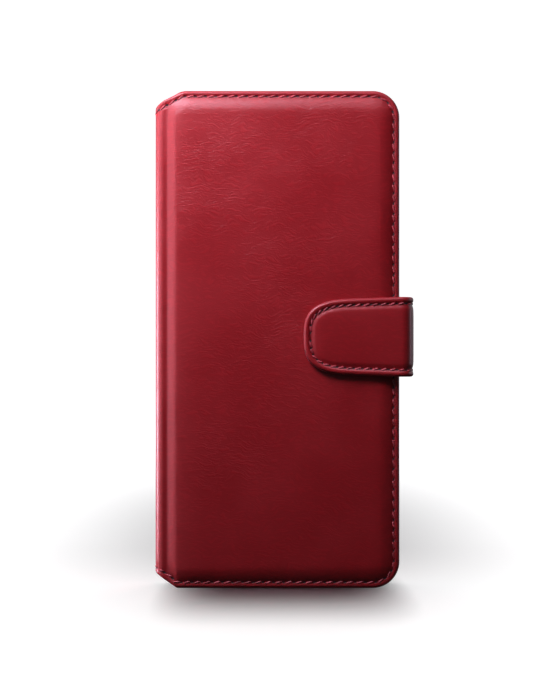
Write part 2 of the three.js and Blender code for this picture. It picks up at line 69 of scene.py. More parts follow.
import bmesh
import bpy
import numpy as np
from mathutils import Vector
from mathutils.kdtree import KDTree

MM = 0.001
UV_PER_MM = 0.01
QUARTER = math.pi / 2
SHARP = 50.0  # degrees over which an edge stays sharp
LOG = logging.getLogger("wallet_case")

Array = np.ndarray
Relief = Callable[[Array, Array, Array, Array], Array]
Rgb = tuple[float, float, float]


# ---- Frame ---------------------------------------------------------------------------------


def box_mm(node: str) -> tuple[Array, Array]:
    """The lowest and highest corner of a CAD node, in millimetres.

    Args:
        node: Name of the CAD node.

    Returns:
        The two corners.
    """
    low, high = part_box(node)
    return np.array(low) / MM, np.array(high) / MM


def joint_mm(name: str) -> Array:
    """The place of a joint in the frame, in millimetres.

    Args:
        name: Name of the joint.

    Returns:
        A point on the joint's axis.
    """
    joints = frame["record"]["behaviour"]["joints"]
    return np.array(next(j["pos_m"] for j in joints if j["name"] == name)) / MM


class Side(Enum):
    """The cover that one half of the case belongs to."""

    FRONT = "front"
    BACK = "back"

    @property
    def sign(self) -> float:
        """1 where the outside faces -Y, and -1 where it faces +Y."""
        return 1.0 if self is Side.FRONT else -1.0

    @property
    def cover(self) -> str:
        """The body of the cover."""
        return f"{self.value}_cover"


# ---- Curves and sheets ---------------------------------------------------------------------


def smooth(value: Array) -> Array:
    """A soft step from 0 to 1, for values from 0 to 1."""
    t = np.clip(value, 0.0, 1.0)
    return t * t * (3.0 - 2.0 * t)


def bell(value: Array) -> Array:
    """A bell of height 1 at 0, which has died away at about 2."""
    return np.exp(-np.square(value))


def crest(distance: Array, margin: float, reach: float) -> Array:
    """The rise of a padded field from a sewn line, steep near its foot and flat on top.

    Args:
        distance: Distance from the edge.
        margin: Distance at which the padding starts.
        reach: Distance from there to the full height.

    Returns:
        Share of the full height, from 0 to 1.
    """
    t = np.clip((distance - margin) / reach, 0.0, 1.0)
    swell = (1.0 - (1.0 - t) ** 3) * smooth(t / 0.1)
    return 0.72 * swell + 0.28 * smooth(t / 0.7)


def ripple(a: Array, b: Array, length: float, phase: float) -> Array:
    """Soft, irregular waves between -1 and 1.

    Args:
        a: First coordinate.
        b: Second coordinate.
        length: Typical length of a wave, in the coordinates' unit.
        phase: A number that sets one pattern apart from another.

    Returns:
        Height of the waves.
    """
    k = 2.0 * math.pi / length
    first = np.sin(k * a + 1.7 * np.sin(0.61 * k * b + phase) + phase)
    second = np.sin(0.83 * k * b + 1.4 * np.sin(0.53 * k * a + 2.0 * phase) + 3.0 * phase)
    third = np.sin(0.71 * k * (a + b) + 1.1 * np.sin(0.9 * k * (a - b)) + 5.0 * phase)
    return (first * second + 0.6 * third) / 1.6


class RoundedPath:
    """A line through corner points in X and Y whose corners are rounded, walked by its length."""

    def __init__(
        self, corners: list[tuple[float, float]], radii: list[float], sign: float
    ) -> None:
        """Works the line out.

        Args:
            corners: The corner points, in millimetres.
            radii: Radius at each corner between the first point and the last.
            sign: 1 where the outside is to the left of the way along the line, else -1.
        """
        points = [np.array(c, float) for c in corners]
        line = [points[0]]
        for before, corner, after, radius in zip(points, points[1:], points[2:], radii):
            line.extend(self._corner(before, corner, after, radius))
        line.append(points[-1])
        self.points = self._fill(np.array(line))
        steps = np.linalg.norm(np.diff(self.points, axis=0), axis=1)
        self.lengths = np.concatenate([[0.0], np.cumsum(steps)])
        tangents = np.gradient(self.points, self.lengths, axis=0)
        self.tangents = tangents / np.linalg.norm(tangents, axis=1, keepdims=True)
        self.sign = sign

    @staticmethod
    def _corner(before: Array, corner: Array, after: Array, radius: float) -> list[Array]:
        """The arc that rounds one corner."""
        into = (corner - before) / np.linalg.norm(corner - before)
        out = (after - corner) / np.linalg.norm(after - corner)
        turn = math.acos(float(np.clip(into @ out, -1.0, 1.0)))
        cut = radius * math.tan(turn / 2.0)
        side = math.copysign(1.0, into[0] * out[1] - into[1] * out[0])
        normal = side * np.array([-into[1], into[0]])
        start = corner - into * cut
        centre = start + normal * radius
        angles = np.linspace(0.0, turn, 24)
        return [centre + radius * (into * math.sin(a) - normal * math.cos(a)) for a in angles]

    @staticmethod
    def _fill(line: Array) -> Array:
        """The same line with no step longer than half a millimetre."""
        filled = [line[:1]]
        for a, b in zip(line, line[1:]):
            count = max(1, math.ceil(float(np.linalg.norm(b - a)) / 0.5))
            shares = np.linspace(0.0, 1.0, count + 1)[1:, None]
            filled.append(a + (b - a) * shares)
        merged = np.concatenate(filled)
        keep = np.concatenate([[True], np.linalg.norm(np.diff(merged, axis=0), axis=1) > 1e-6])
        return merged[keep]

    @property
    def length(self) -> float:
        """Length of the whole line."""
        return float(self.lengths[-1])

    def at(self, s: Array) -> tuple[Array, Array]:
        """Points of the line and the directions that face outside there.

        Args:
            s: Lengths along the line. Beyond either end the line runs on straight.

        Returns:
            Points and unit normals, each with X and Y in the last axis.
        """
        inside = np.clip(s, 0.0, self.length)
        beyond = (s - inside)[..., None]
        place = np.stack([np.interp(inside, self.lengths, self.points[:, i]) for i in (0, 1)], -1)
        along = np.stack([np.interp(inside, self.lengths, self.tangents[:, i]) for i in (0, 1)], -1)
        along /= np.linalg.norm(along, axis=-1, keepdims=True)
        normal = self.sign * np.stack([-along[..., 1], along[..., 0]], -1)
        return place + along * beyond, normal

    def turned_over(self, thickness: float) -> "RoundedPath":
        """The line of the other face of a sheet that has this line as its outer face.

        Args:
            thickness: Thickness of the sheet.

        Returns:
            The other line, whose outside is the sheet's inside.
        """
        place, normal = self.at(self.lengths)
        other = copy.copy(self)
        other.points, other.sign = place - normal * thickness, -self.sign
        return other


@dataclass(frozen=True)
class EndCut:
    """How one end of the case, head or foot, falls away towards the spine."""

    start: float  # distance before the fold at which the cut starts
    slope: float
    ease: float  # length over which the cut starts
    fall: float  # further fall from the fold to the middle of the spine


@dataclass(frozen=True)
class Outline:
    """The outline of one half of the case, unrolled: a cover and its half of the spine.

    s runs from the fore edge over the cover and the fold to the middle of the spine, and z up.
    """

    height: float
    fold: float  # s of the fold
    middle: float  # s of the middle of the spine
    corner: float = 9.3
    head: EndCut = EndCut(start=6.9, slope=0.5, ease=3.0, fall=4.5)
    foot: EndCut = EndCut(start=4.0, slope=0.72, ease=1.6, fall=3.6)

    def drop(self, s: Array, at_head: Array) -> Array:
        """How far the outline has fallen away from the head or the foot.

        Args:
            s: Distance from the fore edge.
            at_head: True at the head, False at the foot.

        Returns:
            The fall, in millimetres.
        """
        return np.where(at_head, self._cut(s, self.head), self._cut(s, self.foot))

    def _cut(self, s: Array, cut: EndCut) -> Array:
        """The fall at one end."""
        u = np.clip(s - (self.fold - cut.start), 0.0, cut.start)
        eased = np.where(u < cut.ease, u * u / (2.0 * cut.ease), u - cut.ease / 2.0)
        w = np.clip((s - self.fold) / (self.middle - self.fold), 0.0, 1.0)
        rise = cut.slope * (self.middle - self.fold) / cut.fall
        spine = (w**3 - 2.0 * w**2 + w) * rise + (3.0 * w**2 - 2.0 * w**3)
        return cut.slope * eased + cut.fall * spine

    def slant(self, s: Array, at_head: Array) -> Array:
        """How much longer a step square to the outline is when it is taken along z."""
        step = 0.05
        rise = (self.drop(s + step, at_head) - self.drop(s - step, at_head)) / (2.0 * step)
        return np.sqrt(1.0 + rise * rise)

    def edge_distance(self, s: Array, z: Array) -> Array:
        """Distance of a point of the unrolled sheet from the outline.

        Args:
            s: Distance from the fore edge.
            z: Height.

        Returns:
            Distance, positive inside.
        """
        at_head = z > self.height / 2.0
        from_end = np.where(at_head, self.height - z, z) - self.drop(s, at_head)
        from_end = from_end / self.slant(s, at_head)
        radius = self.corner
        round_part = radius - np.hypot(radius - s, radius - from_end)
        in_corner = (s < radius) & (from_end < radius)
        return np.where(in_corner, round_part, np.minimum(s, from_end))

    def seam_line(self, inset: float, step: float = 0.2) -> Array:
        """The line of the seam, from the spine's foot round the cover to the spine's head.

        Args:
            inset: Distance of the seam from the outline.
            step: Spacing of the points.

        Returns:
            Points with s and z in the last axis, evenly spaced.
        """
        r = self.corner
        run = np.arange(self.middle, r, -step)
        foot = np.stack([run, self._inset_z(run, inset, False)], -1)
        head = np.stack([run[::-1], self._inset_z(run[::-1], inset, True)], -1)
        turn = np.linspace(0.0, QUARTER, 60)
        bend = (r - inset) * np.stack([np.sin(turn), np.cos(turn)], -1)
        foot_corner = np.array([r, r]) - bend
        head_corner = np.stack([r - bend[::-1, 0], self.height - r + bend[::-1, 1]], -1)
        line = np.concatenate([foot, foot_corner, head_corner, head])
        return even_line(line, step)

    def _inset_z(self, s: Array, inset: float, at_head: bool) -> Array:
        """Height of a line that keeps a distance from the head or the foot."""
        flag = np.full(s.shape, at_head)
        z = self.drop(s, flag) + inset * self.slant(s, flag)
        return self.height - z if at_head else z


def even_line(line: Array, step: float) -> Array:
    """The same line with evenly spaced points.

    Args:
        line: Points in any number of axes.
        step: Wanted spacing.

    Returns:
        The new points.
    """
    lengths = np.concatenate([[0.0], np.cumsum(np.linalg.norm(np.diff(line, axis=0), axis=1))])
    count = max(2, round(lengths[-1] / step) + 1)
    places = np.linspace(0.0, lengths[-1], count)
    return np.stack([np.interp(places, lengths, line[:, i]) for i in range(line.shape[1])], -1)


# ---- Meshes --------------------------------------------------------------------------------


@dataclass
class Surface:
    """Vertices and faces in millimetres, with values that ride on the vertices."""

    points: Array
    faces: list[tuple[int, ...]] | Array
    flat: Array | None = None  # unrolled place of each vertex, in millimetres
    values: dict[str, Array] = field(default_factory=dict)


def grid_faces(rows: int, columns: int, flip: bool, ring: bool = False) -> Array:
    """Quads of a grid whose vertices run row by row.

    Args:
        rows: Number of rows of vertices.
        columns: Number of vertices in a row.
        flip: Whether the faces are turned over.
        ring: Whether each row closes on itself.

    Returns:
        One row of four vertex numbers for each quad.
    """
    index = np.arange(rows * columns).reshape(rows, columns)
    if ring:
        index = np.concatenate([index, index[:, :1]], axis=1)
    quads = np.stack([index[:-1, :-1], index[:-1, 1:], index[1:, 1:], index[1:, :-1]], -1)
    quads = quads.reshape(-1, 4)
    return quads[:, ::-1] if flip else quads


def vertex_normals(points: Array, quads: Array) -> Array:
    """Unit normals of the vertices of a mesh of quads."""
    corners = points[quads]
    across = np.cross(corners[:, 2] - corners[:, 0], corners[:, 3] - corners[:, 1])
    normals = np.zeros_like(points)
    for i in range(4):
        np.add.at(normals, quads[:, i], across)
    return normals / np.maximum(np.linalg.norm(normals, axis=1, keepdims=True), 1e-12)


def rim_edges(quads: Array) -> Array:
    """Directed edges that only one quad has."""
    edges = np.concatenate([quads[:, [i, (i + 1) % 4]] for i in range(4)])
    key = edges.min(1) * (quads.max() + 1) + edges.max(1)
    _, first, count = np.unique(key, return_index=True, return_counts=True)
    return edges[first[count == 1]]


def thicken(surface: Surface, thickness: float) -> Surface:
    """A closed skin made from an open surface, which stays its outer face.

    Args:
        surface: Open surface of quads.
        thickness: Thickness of the skin, which grows inwards.

    Returns:
        The closed surface.
    """
    quads = np.asarray(surface.faces)
    used = np.unique(quads)
    renumber = np.full(len(surface.points), -1)
    renumber[used] = np.arange(len(used))
    quads = renumber[quads]
    points = surface.points[used]
    inner = points - vertex_normals(points, quads) * thickness
    count = len(points)
    rim = rim_edges(quads)
    walls = np.stack([rim[:, 1], rim[:, 0], rim[:, 0] + count, rim[:, 1] + count], -1)
    faces = np.concatenate([quads, quads[:, ::-1] + count, walls])
    flat = None if surface.flat is None else np.tile(surface.flat[used], (2, 1))
    values = {name: np.tile(value[used], 2) for name, value in surface.values.items()}
    return Surface(np.concatenate([points, inner]), faces, flat, values)


def joined(surfaces: list[Surface]) -> Surface:
    """Several surfaces as one."""
    faces: list[tuple[int, ...]] = []
    start = 0
    for surface in surfaces:
        faces.extend(tuple(int(v) + start for v in face) for face in surface.faces)
        start += len(surface.points)
    points = np.concatenate([s.points for s in surfaces])
    flat = None
    if all(s.flat is not None for s in surfaces):
        flat = np.concatenate([s.flat for s in surfaces])
    names = surfaces[0].values
    values = {n: np.concatenate([s.values[n] for s in surfaces]) for n in names}
    return Surface(points, faces, flat, values)


def new_piece(
    name: str, surface: Surface, material: bpy.types.Material, sharp: float = SHARP
) -> bpy.types.Object:
    """A Blender object made from a surface.

    Args:
        name: Name of the piece.
        surface: Its shape, in millimetres.
        material: Its finish.
        sharp: Edges that turn by more than this many degrees stay sharp.

    Returns:
        The object, linked to the scene.
    """
    mesh = bpy.data.meshes.new(name)
    faces = surface.faces.tolist() if isinstance(surface.faces, np.ndarray) else surface.faces
    mesh.from_pydata((surface.points * MM).tolist(), [], faces)
    mesh.validate()
    if surface.flat is not None:
        layer = mesh.uv_layers.new(name="UVMap")
        corners = np.empty(len(mesh.loops), np.int32)
        mesh.loops.foreach_get("vertex_index", corners)
        layer.data.foreach_set("uv", (surface.flat[corners] * UV_PER_MM).ravel())
    for label, value in surface.values.items():
        attribute = mesh.attributes.new(label, "FLOAT", "POINT")
        attribute.data.foreach_set("value", value.astype(np.float32))
    mesh.polygons.foreach_set("use_smooth", [True] * len(mesh.polygons))
    mesh.set_sharp_from_angle(angle=math.radians(sharp))
    mesh.materials.append(material)
    piece = bpy.data.objects.new(name, mesh)
    bpy.context.scene.collection.objects.link(piece)
    return piece


def weld(piece: bpy.types.Object, distance: float = 0.002, close: bool = False) -> None:
    """Merges vertices of a piece that lie close together.

    Args:
        piece: The piece.
        distance: Greatest distance between merged vertices, in millimetres.
        close: Whether open ends are closed as well.
    """
    shape = bmesh.new()
    shape.from_mesh(piece.data)
    bmesh.ops.remove_doubles(shape, verts=shape.verts, dist=distance * MM)
    bmesh.ops.dissolve_degenerate(shape, edges=shape.edges, dist=1e-7)
    if close:
        rim = [edge for edge in shape.edges if edge.is_boundary]
        bmesh.ops.holes_fill(shape, edges=rim, sides=0)
    bmesh.ops.recalc_face_normals(shape, faces=shape.faces)
    shape.to_mesh(piece.data)
    shape.free()
    if close:
        piece.data.set_sharp_from_angle(angle=math.radians(SHARP))


# ---- Shader node groups --------------------------------------------------------------------


class Graph:
    """Short forms for building a node tree."""

    def __init__(self, tree: bpy.types.NodeTree):
        """Works on the given tree."""
        self.tree = tree

    def add(
        self, kind: str, inputs: dict[str | int, object] | None = None, **settings: object
    ) -> bpy.types.Node:
        """Adds a node.

        Args:
            kind: The node's type, without the leading ShaderNode.
            inputs: Values or sockets for its inputs, by name or number.
            settings: Properties of the node.

        Returns:
            The node.
        """
        node = self.tree.nodes.new(f"ShaderNode{kind}")
        for key, value in settings.items():
            setattr(node, key, value)
        for key, value in (inputs or {}).items():
            self.feed(node.inputs[key], value)
        return node

    def feed(self, socket: bpy.types.NodeSocket, value: object) -> None:
        """Links a socket to an input, or sets the input's value."""
        if isinstance(value, bpy.types.NodeSocket):
            self.tree.links.new(value, socket)
        else:
            socket.default_value = value

    def math(
        self, operation: str, a: object, b: object = 0.0, c: object = 0.0
    ) -> bpy.types.NodeSocket:
        """The result of a Math node."""
        return self.add("Math", {0: a, 1: b, 2: c}, operation=operation).outputs[0]

    def times(self, a: object, b: object) -> bpy.types.NodeSocket:
        """The product of two values."""
        return self.math("MULTIPLY", a, b)

    def size(self, value: object, unit: object, power: float) -> bpy.types.NodeSocket:
        """The size of a value in a unit, without its sign, raised to a power."""
        return self.math("POWER", self.math("ABSOLUTE", self.math("DIVIDE", value, unit)), power)

    def fading(self, value: object) -> bpy.types.NodeSocket:
        """1 where a value is 0, dying away exponentially as it grows."""
        return self.math("EXPONENT", self.times(value, -1.0))

    def step(
        self, value: object, low: float, high: float, to_low: float = 0.0, to_high: float = 1.0
    ) -> bpy.types.NodeSocket:
        """A soft step: to_low where the value is under low, to_high where it is over high."""
        inputs = {"Value": value, 1: low, 2: high, 3: to_low, 4: to_high}
        return self.add("MapRange", inputs, interpolation_type="SMOOTHSTEP").outputs[0]

    def mix(self, share: object, a: object, b: object) -> bpy.types.NodeSocket:
        """A mix of two colours, with the share that the second one has."""
        node = self.add("Mix", data_type="RGBA")
        for key, value in (("Factor", share), (6, a), (7, b)):
            self.feed(node.inputs[key], value)
        return node.outputs[2]

    def group(self, tree: bpy.types.NodeTree, inputs: dict[str, object]) -> bpy.types.Node:
        """Places a node group with the given values."""
        return self.add("Group", inputs, node_tree=tree)


def rgba(colour: Rgb) -> tuple[float, float, float, float]:
    """A colour with full opacity."""
    return (*colour, 1.0)


def new_group(
    name: str, inputs: dict[str, str], outputs: list[str]
) -> tuple[Graph, bpy.types.Node, bpy.types.Node]:
    """An empty shader node group.

    Args:
        name: Its name.
        inputs: Kind of each input socket, by name.
        outputs: Names of its outputs, which are all numbers.

    Returns:
        The graph of the group, its input node and its output node.
    """
    tree = bpy.data.node_groups.new(name, "ShaderNodeTree")
    for label, kind in inputs.items():
        tree.interface.new_socket(label, in_out="INPUT", socket_type=f"NodeSocket{kind}")
    for label in outputs:
        tree.interface.new_socket(label, in_out="OUTPUT", socket_type="NodeSocketFloat")
    return Graph(tree), tree.nodes.new("NodeGroupInput"), tree.nodes.new("NodeGroupOutput")


class Effects:
    """The effects that several finishes share, each a node group built once."""

    def __init__(self) -> None:
        """Builds the groups."""
        self.grain = self._grain()
        self.needle = self._needle()
        self.fibre = self._fibre()
        self.mottle = self._mottle()
        self.pool = self._painted_pool()

    @staticmethod
    def _grain() -> bpy.types.NodeTree:
        """Leather grain: short wavy creases that run round the case, and fine pores."""
        graph, given, result = new_group(
            "leather_grain", {"Place": "Vector", "Crease": "Float", "Pore": "Float"},
            ["Height", "Tone"],
        )
        place = given.outputs["Place"]
        bend = graph.add("TexNoise", {"Vector": place, "Scale": 0.09, "Detail": 2.0})
        half = {0: bend.outputs[1], 1: (0.5, 0.5, 0.5)}
        centred = graph.add("VectorMath", half, operation="SUBTRACT").outputs[0]
        spread = {0: centred, 1: (7.0, 9.0, 0.0), 2: place}
        bent = graph.add("VectorMath", spread, operation="MULTIPLY_ADD").outputs[0]
        flat = graph.add("Mapping", {"Vector": bent, "Scale": (0.26, 1.0, 1.0)}).outputs[0]
        noise = {"Vector": flat, "Scale": 0.95, "Detail": 3.0, "Distortion": 0.35}
        crease = graph.add("TexNoise", noise).outputs[0]
        off = graph.math("ABSOLUTE", graph.math("SUBTRACT", crease, 0.5))
        ridge = graph.step(off, 0.0, 0.17)
        fine = graph.add("TexNoise", {"Vector": flat, "Scale": 2.6, "Detail": 2.0}).outputs[0]
        pores = graph.add("TexVoronoi", {"Vector": place, "Scale": 2.3, "Randomness": 1.0})
        pit = graph.step(pores.outputs[0], 0.08, 0.42)
        strength = graph.add("TexNoise", {"Vector": place, "Scale": 0.035, "Detail": 2.0})
        share = graph.step(strength.outputs[0], 0.30, 0.68, 0.35, 1.0)
        creases = graph.times(graph.times(ridge, share), given.outputs["Crease"])
        height = graph.math("MULTIPLY_ADD", pit, given.outputs["Pore"], creases)
        graph.feed(result.inputs["Height"], graph.math("MULTIPLY_ADD", fine, 0.45, height))
        # Tone is lowest in the crease grooves; the leather paints shade into them from it.
        tone = graph.math("MULTIPLY_ADD", ridge, 0.5, graph.times(fine, 0.5))
        graph.feed(result.inputs["Tone"], tone)
        return graph.tree

    @staticmethod
    def _needle() -> bpy.types.NodeTree:
        """The needle holes of a seam and the channel that its thread draws into the leather."""
        graph, given, result = new_group(
            "needle_holes", {"Along": "Float", "Across": "Float", "Pitch": "Float"},
            ["Hole", "Channel"],
        )
        pitch = given.outputs["Pitch"]
        turns = graph.math("DIVIDE", given.outputs["Along"], pitch)
        share = graph.math("FRACT", graph.math("ADD", turns, 0.5))
        along = graph.times(graph.math("SUBTRACT", share, 0.5), pitch)
        beside = graph.size(given.outputs["Across"], 0.36, 2.0)
        off = graph.math("ADD", graph.size(along, 0.55, 2.0), beside)
        graph.feed(result.inputs["Hole"], graph.step(off, 0.35, 1.2, 1.0, 0.0))
        across = graph.math("ABSOLUTE", given.outputs["Across"])
        graph.feed(result.inputs["Channel"], graph.step(across, 0.15, 0.85, 1.0, 0.0))
        return graph.tree

    @staticmethod
    def _fibre() -> bpy.types.NodeTree:
        """Short matted fibres, for suede, foam, board and thread."""
        graph, given, result = new_group(
            "matted_fibres", {"Place": "Vector", "Size": "Float"}, ["Height", "Tone"]
        )
        place = given.outputs["Place"]
        scale = graph.math("DIVIDE", 1.0, given.outputs["Size"])
        fine = {"Vector": place, "Scale": scale, "Detail": 4.0, "Roughness": 0.7}
        hairs = graph.add("TexNoise", {**fine, "Distortion": 1.2}).outputs[0]
        broad = graph.add("TexNoise", {"Vector": place, "Scale": graph.times(scale, 0.07)})
        graph.feed(result.inputs["Height"], hairs)
        tone = graph.math("MULTIPLY_ADD", broad.outputs[0], 0.6, graph.times(hairs, 0.4))
        graph.feed(result.inputs["Tone"], tone)
        return graph.tree

    @staticmethod
    def _mottle() -> bpy.types.NodeTree:
        """Broad, cloudy unevenness of a dyed or moulded surface, and a little dust."""
        graph, given, result = new_group(
            "mottle", {"Place": "Vector", "Size": "Float"}, ["Cloud", "Dust"]
        )
        scale = graph.math("DIVIDE", 1.0, given.outputs["Size"])
        cloud = {"Vector": given.outputs["Place"], "Scale": scale, "Detail": 3.0, "Roughness": 0.6}
        soft = graph.add("TexNoise", cloud)
        graph.feed(result.inputs["Cloud"], graph.step(soft.outputs[0], 0.3, 0.7))
        specks = graph.add("TexNoise", {"Vector": given.outputs["Place"], "Scale": 4.5, "Detail": 1.0})
        graph.feed(result.inputs["Dust"], graph.step(specks.outputs[0], 0.68, 0.78))
        return graph.tree

    @staticmethod
    def _painted_pool() -> bpy.types.NodeTree:
        """A soft, painted pool of shade on the floor behind the case, and a painted contact shadow round
        its foot.
        """
        graph, given, result = new_group("painted_shade_pool", {"Place": "Vector"}, ["Shade", "Glow", "Far"])
        x, y, _ = graph.add("SeparateXYZ", {0: given.outputs["Place"]}).outputs
        past = graph.math("SUBTRACT", y, 150.0)
        wide = graph.math("MULTIPLY_ADD", graph.math("MAXIMUM", past, 0.0), 0.055, 92.0)
        long = graph.step(past, -40.0, 40.0, 190.0, 480.0)
        away = graph.math("ADD", graph.size(x, wide, 2.0), graph.size(past, long, 2.0))
        shade = graph.times(graph.fading(away), 0.76)
        # Painted contact shadow: a dark band on the floor in front of the case's foot and just behind it.
        front = graph.step(graph.times(y, -1.0), 8.0, 128.0, 1.0, 0.0)
        behind = graph.step(y, 15.0, 110.0, 1.0, 0.0)
        foot = graph.times(graph.fading(graph.size(x, 43.0, 6.0)), graph.times(front, behind))
        graph.feed(result.inputs["Shade"], shade)
        # Glow is the floor's camera-only white glow, less the painted shade.
        painted_floor_shade = graph.math("MAXIMUM", foot, shade)
        graph.feed(result.inputs["Glow"], graph.math("SUBTRACT", 1.0, painted_floor_shade))
        graph.feed(result.inputs["Far"], graph.step(y, 250.0, 900.0))
        return graph.tree


def new_material(name: str) -> tuple[Graph, bpy.types.Node, bpy.types.Material]:
    """A material with one Principled shader.

    Args:
        name: Its name.

    Returns:
        Its graph, its shader and the material.
    """
    material = bpy.data.materials.new(name)
    material.use_nodes = True
    graph = Graph(material.node_tree)
    return graph, material.node_tree.nodes["Principled BSDF"], material


def place_mm(graph: Graph, unrolled: bool) -> bpy.types.NodeSocket:
    """The place of a point in millimetres, on the unrolled sheet or in the object's space.

    Args:
        graph: Graph of the material.
        unrolled: Whether the piece has unrolled coordinates.

    Returns:
        A vector socket.
    """
    given = graph.add("TexCoord").outputs["UV" if unrolled else "Object"]
    scale = 1.0 / UV_PER_MM if unrolled else 1.0 / MM
    return graph.add("Mapping", {"Vector": given, "Scale": (scale, scale, scale)}).outputs[0]


def surface_of(
    graph: Graph, shader: bpy.types.Node, colour: object, rough: object, height: object, depth: float
) -> None:
    """Gives a shader its colour, its roughness and the relief of its surface.

    Args:
        graph: Graph of the material.
        shader: The material's shader.
        colour: Its colour.
        rough: Its roughness.
        height: Height of the relief, from 0 to 1.
        depth: What a height of 1 stands for, in millimetres.
    """
    relief = {"Height": height, "Strength": 1.0, "Distance": depth * MM}
    bump = graph.add("Bump", relief).outputs[0]
    for name, value in (("Base Color", colour), ("Roughness", rough), ("Normal", bump)):
        graph.feed(shader.inputs[name], value)


def value_of(graph: Graph, name: str) -> bpy.types.NodeSocket:
    """A value that rides on the vertices of a mesh."""
    return graph.add("Attribute", attribute_name=name).outputs["Fac"]


@dataclass(frozen=True)
class LeatherFinish:
    """Dyed, lightly glazed leather with fine creases, with painted shade in its creases, sewn channels
    and needle holes, and a painted highlight along its edges.
    """

    name: str = "red_leather"
    colour: Rgb = (0.345, 0.0075, 0.0125)
    # deep: darker colour for the random cloud, and for the painted shade in creases and sewn channels
    deep: Rgb = (0.170, 0.0030, 0.0055)
    # edge highlight: a lighter, pinker colour painted along the edges as a highlight
    edge_highlight: Rgb = (0.460, 0.0350, 0.0520)
    # hole shade: near black, painted into the needle holes as shade
    hole_shade: Rgb = (0.030, 0.0012, 0.0020)
    roughness: tuple[float, float] = (0.35, 0.40)
    crease: float = 0.8
    pore: float = 0.35
    depth: float = 0.036  # of the grain, in millimetres
    pitch: float | None = None  # of the seam, where the piece is sewn

    def material(self, effects: Effects) -> bpy.types.Material:
        """Builds the material.

        Args:
            effects: The shared node groups.

        Returns:
            The material.
        """
        graph, shader, material = new_material(self.name)
        place = place_mm(graph, True)
        inputs = {"Place": place, "Crease": self.crease, "Pore": self.pore}
        grain = graph.group(effects.grain, inputs)
        mottle = graph.group(effects.mottle, {"Place": place, "Size": 22.0})
        # Painted shade: the grain's crease grooves are darkened towards the deep colour.
        painted_crease_shade = graph.step(grain.outputs["Tone"], 0.25, 0.75, 0.28, 0.0)
        cloud = graph.step(mottle.outputs["Cloud"], 0.0, 1.0, 0.14, 0.0)
        colour = graph.mix(graph.math("ADD", painted_crease_shade, cloud), rgba(self.colour), rgba(self.deep))
        height = grain.outputs["Height"]
        rough = graph.step(mottle.outputs["Cloud"], 0.0, 1.0, *self.roughness)
        if self.pitch:
            edge = value_of(graph, "edge_mm")
            # Painted highlight: the lighter, pinker colour along the edges, over the turned edges and
            # over the tab's inner face.
            painted_edge_highlight = graph.step(edge, -0.9, 0.9, 0.34, 0.0)
            colour = graph.mix(painted_edge_highlight, colour, rgba(self.edge_highlight))
            seam = {"Along": value_of(graph, "along_mm"), "Across": value_of(graph, "across_mm")}
            needle = graph.group(effects.needle, {**seam, "Pitch": self.pitch})
            # Painted shade: the sewn channel darkens towards the deep colour, and the needle holes go
            # near black.
            sunk = graph.math("MULTIPLY", needle.outputs["Channel"], 0.38)
            colour = graph.mix(sunk, colour, rgba(self.deep))
            colour = graph.mix(needle.outputs["Hole"], colour, rgba(self.hole_shade))
            height = graph.math("MULTIPLY_ADD", needle.outputs["Hole"], -9.0, height)
            rough = graph.math("ADD", rough, graph.math("MULTIPLY", needle.outputs["Hole"], 0.3))
        surface_of(graph, shader, colour, rough, height, self.depth)
        shader.inputs["Specular IOR Level"].default_value = 0.5
        shader.inputs["Sheen Weight"].default_value = 0.12
        shader.inputs["Sheen Roughness"].default_value = 0.35
        shader.inputs["Sheen Tint"].default_value = (0.95, 0.78, 1.0, 1.0)
        return material


@dataclass(frozen=True)
class FibreFinish:
    """A matt, fibrous finish: lining, thread, foam, board or tape."""

    name: str
    colour: Rgb
    deep: Rgb
    size: float  # of the fibres, in millimetres
    depth: float  # of the relief, in millimetres
    roughness: float
    sheen: float = 0.0

    def material(self, effects: Effects) -> bpy.types.Material:
        """Builds the material.

        Args:
            effects: The shared node groups.

        Returns:
            The material.
        """
        graph, shader, material = new_material(self.name)
        place = place_mm(graph, False)
        fibre = graph.group(effects.fibre, {"Place": place, "Size": self.size})
        mottle = graph.group(effects.mottle, {"Place": place, "Size": 40.0 * self.size})
        share = graph.math("MULTIPLY_ADD", mottle.outputs["Cloud"], 0.35, fibre.outputs["Tone"])
        colour = graph.mix(graph.step(share, 0.35, 0.95), rgba(self.deep), rgba(self.colour))
        low = max(0.0, self.roughness - 0.08)
        rough = graph.step(fibre.outputs["Tone"], 0.3, 0.7, low, min(1.0, self.roughness + 0.08))
        surface_of(graph, shader, colour, rough, fibre.outputs["Height"], self.depth)
        shader.inputs["Sheen Weight"].default_value = self.sheen
        shader.inputs["Sheen Roughness"].default_value = 0.5
        shader.inputs["Sheen Tint"].default_value = rgba(self.colour)
        return material


@dataclass(frozen=True)
class HardFinish:
    """A moulded plastic or a plated metal, with a fine surface texture."""

    name: str
    colour: Rgb
    deep: Rgb
    roughness: tuple[float, float]
    metallic: float = 0.0
    texture: tuple[float, float, float] = (1.0, 1.0, 1.0)  # stretch of the texture
    depth: float = 0.008

    def material(self, effects: Effects) -> bpy.types.Material:
        """Builds the material.

        Args:
            effects: The shared node groups.

        Returns:
            The material.
        """
        graph, shader, material = new_material(self.name)
        place = place_mm(graph, False)
        stretched = graph.add("Mapping", {"Vector": place, "Scale": self.texture}).outputs[0]
        fibre = graph.group(effects.fibre, {"Place": stretched, "Size": 0.22})
        mottle = graph.group(effects.mottle, {"Place": place, "Size": 14.0})
        share = graph.math("MULTIPLY", mottle.outputs["Cloud"], 0.5)
        colour = graph.mix(share, rgba(self.colour), rgba(self.deep))
        tone = graph.math("MULTIPLY_ADD", mottle.outputs["Dust"], 0.4, fibre.outputs["Tone"])
        rough = graph.step(tone, 0.25, 0.8, *self.roughness)
        surface_of(graph, shader, colour, rough, fibre.outputs["Height"], self.depth)
        shader.inputs["Metallic"].default_value = self.metallic
        return material


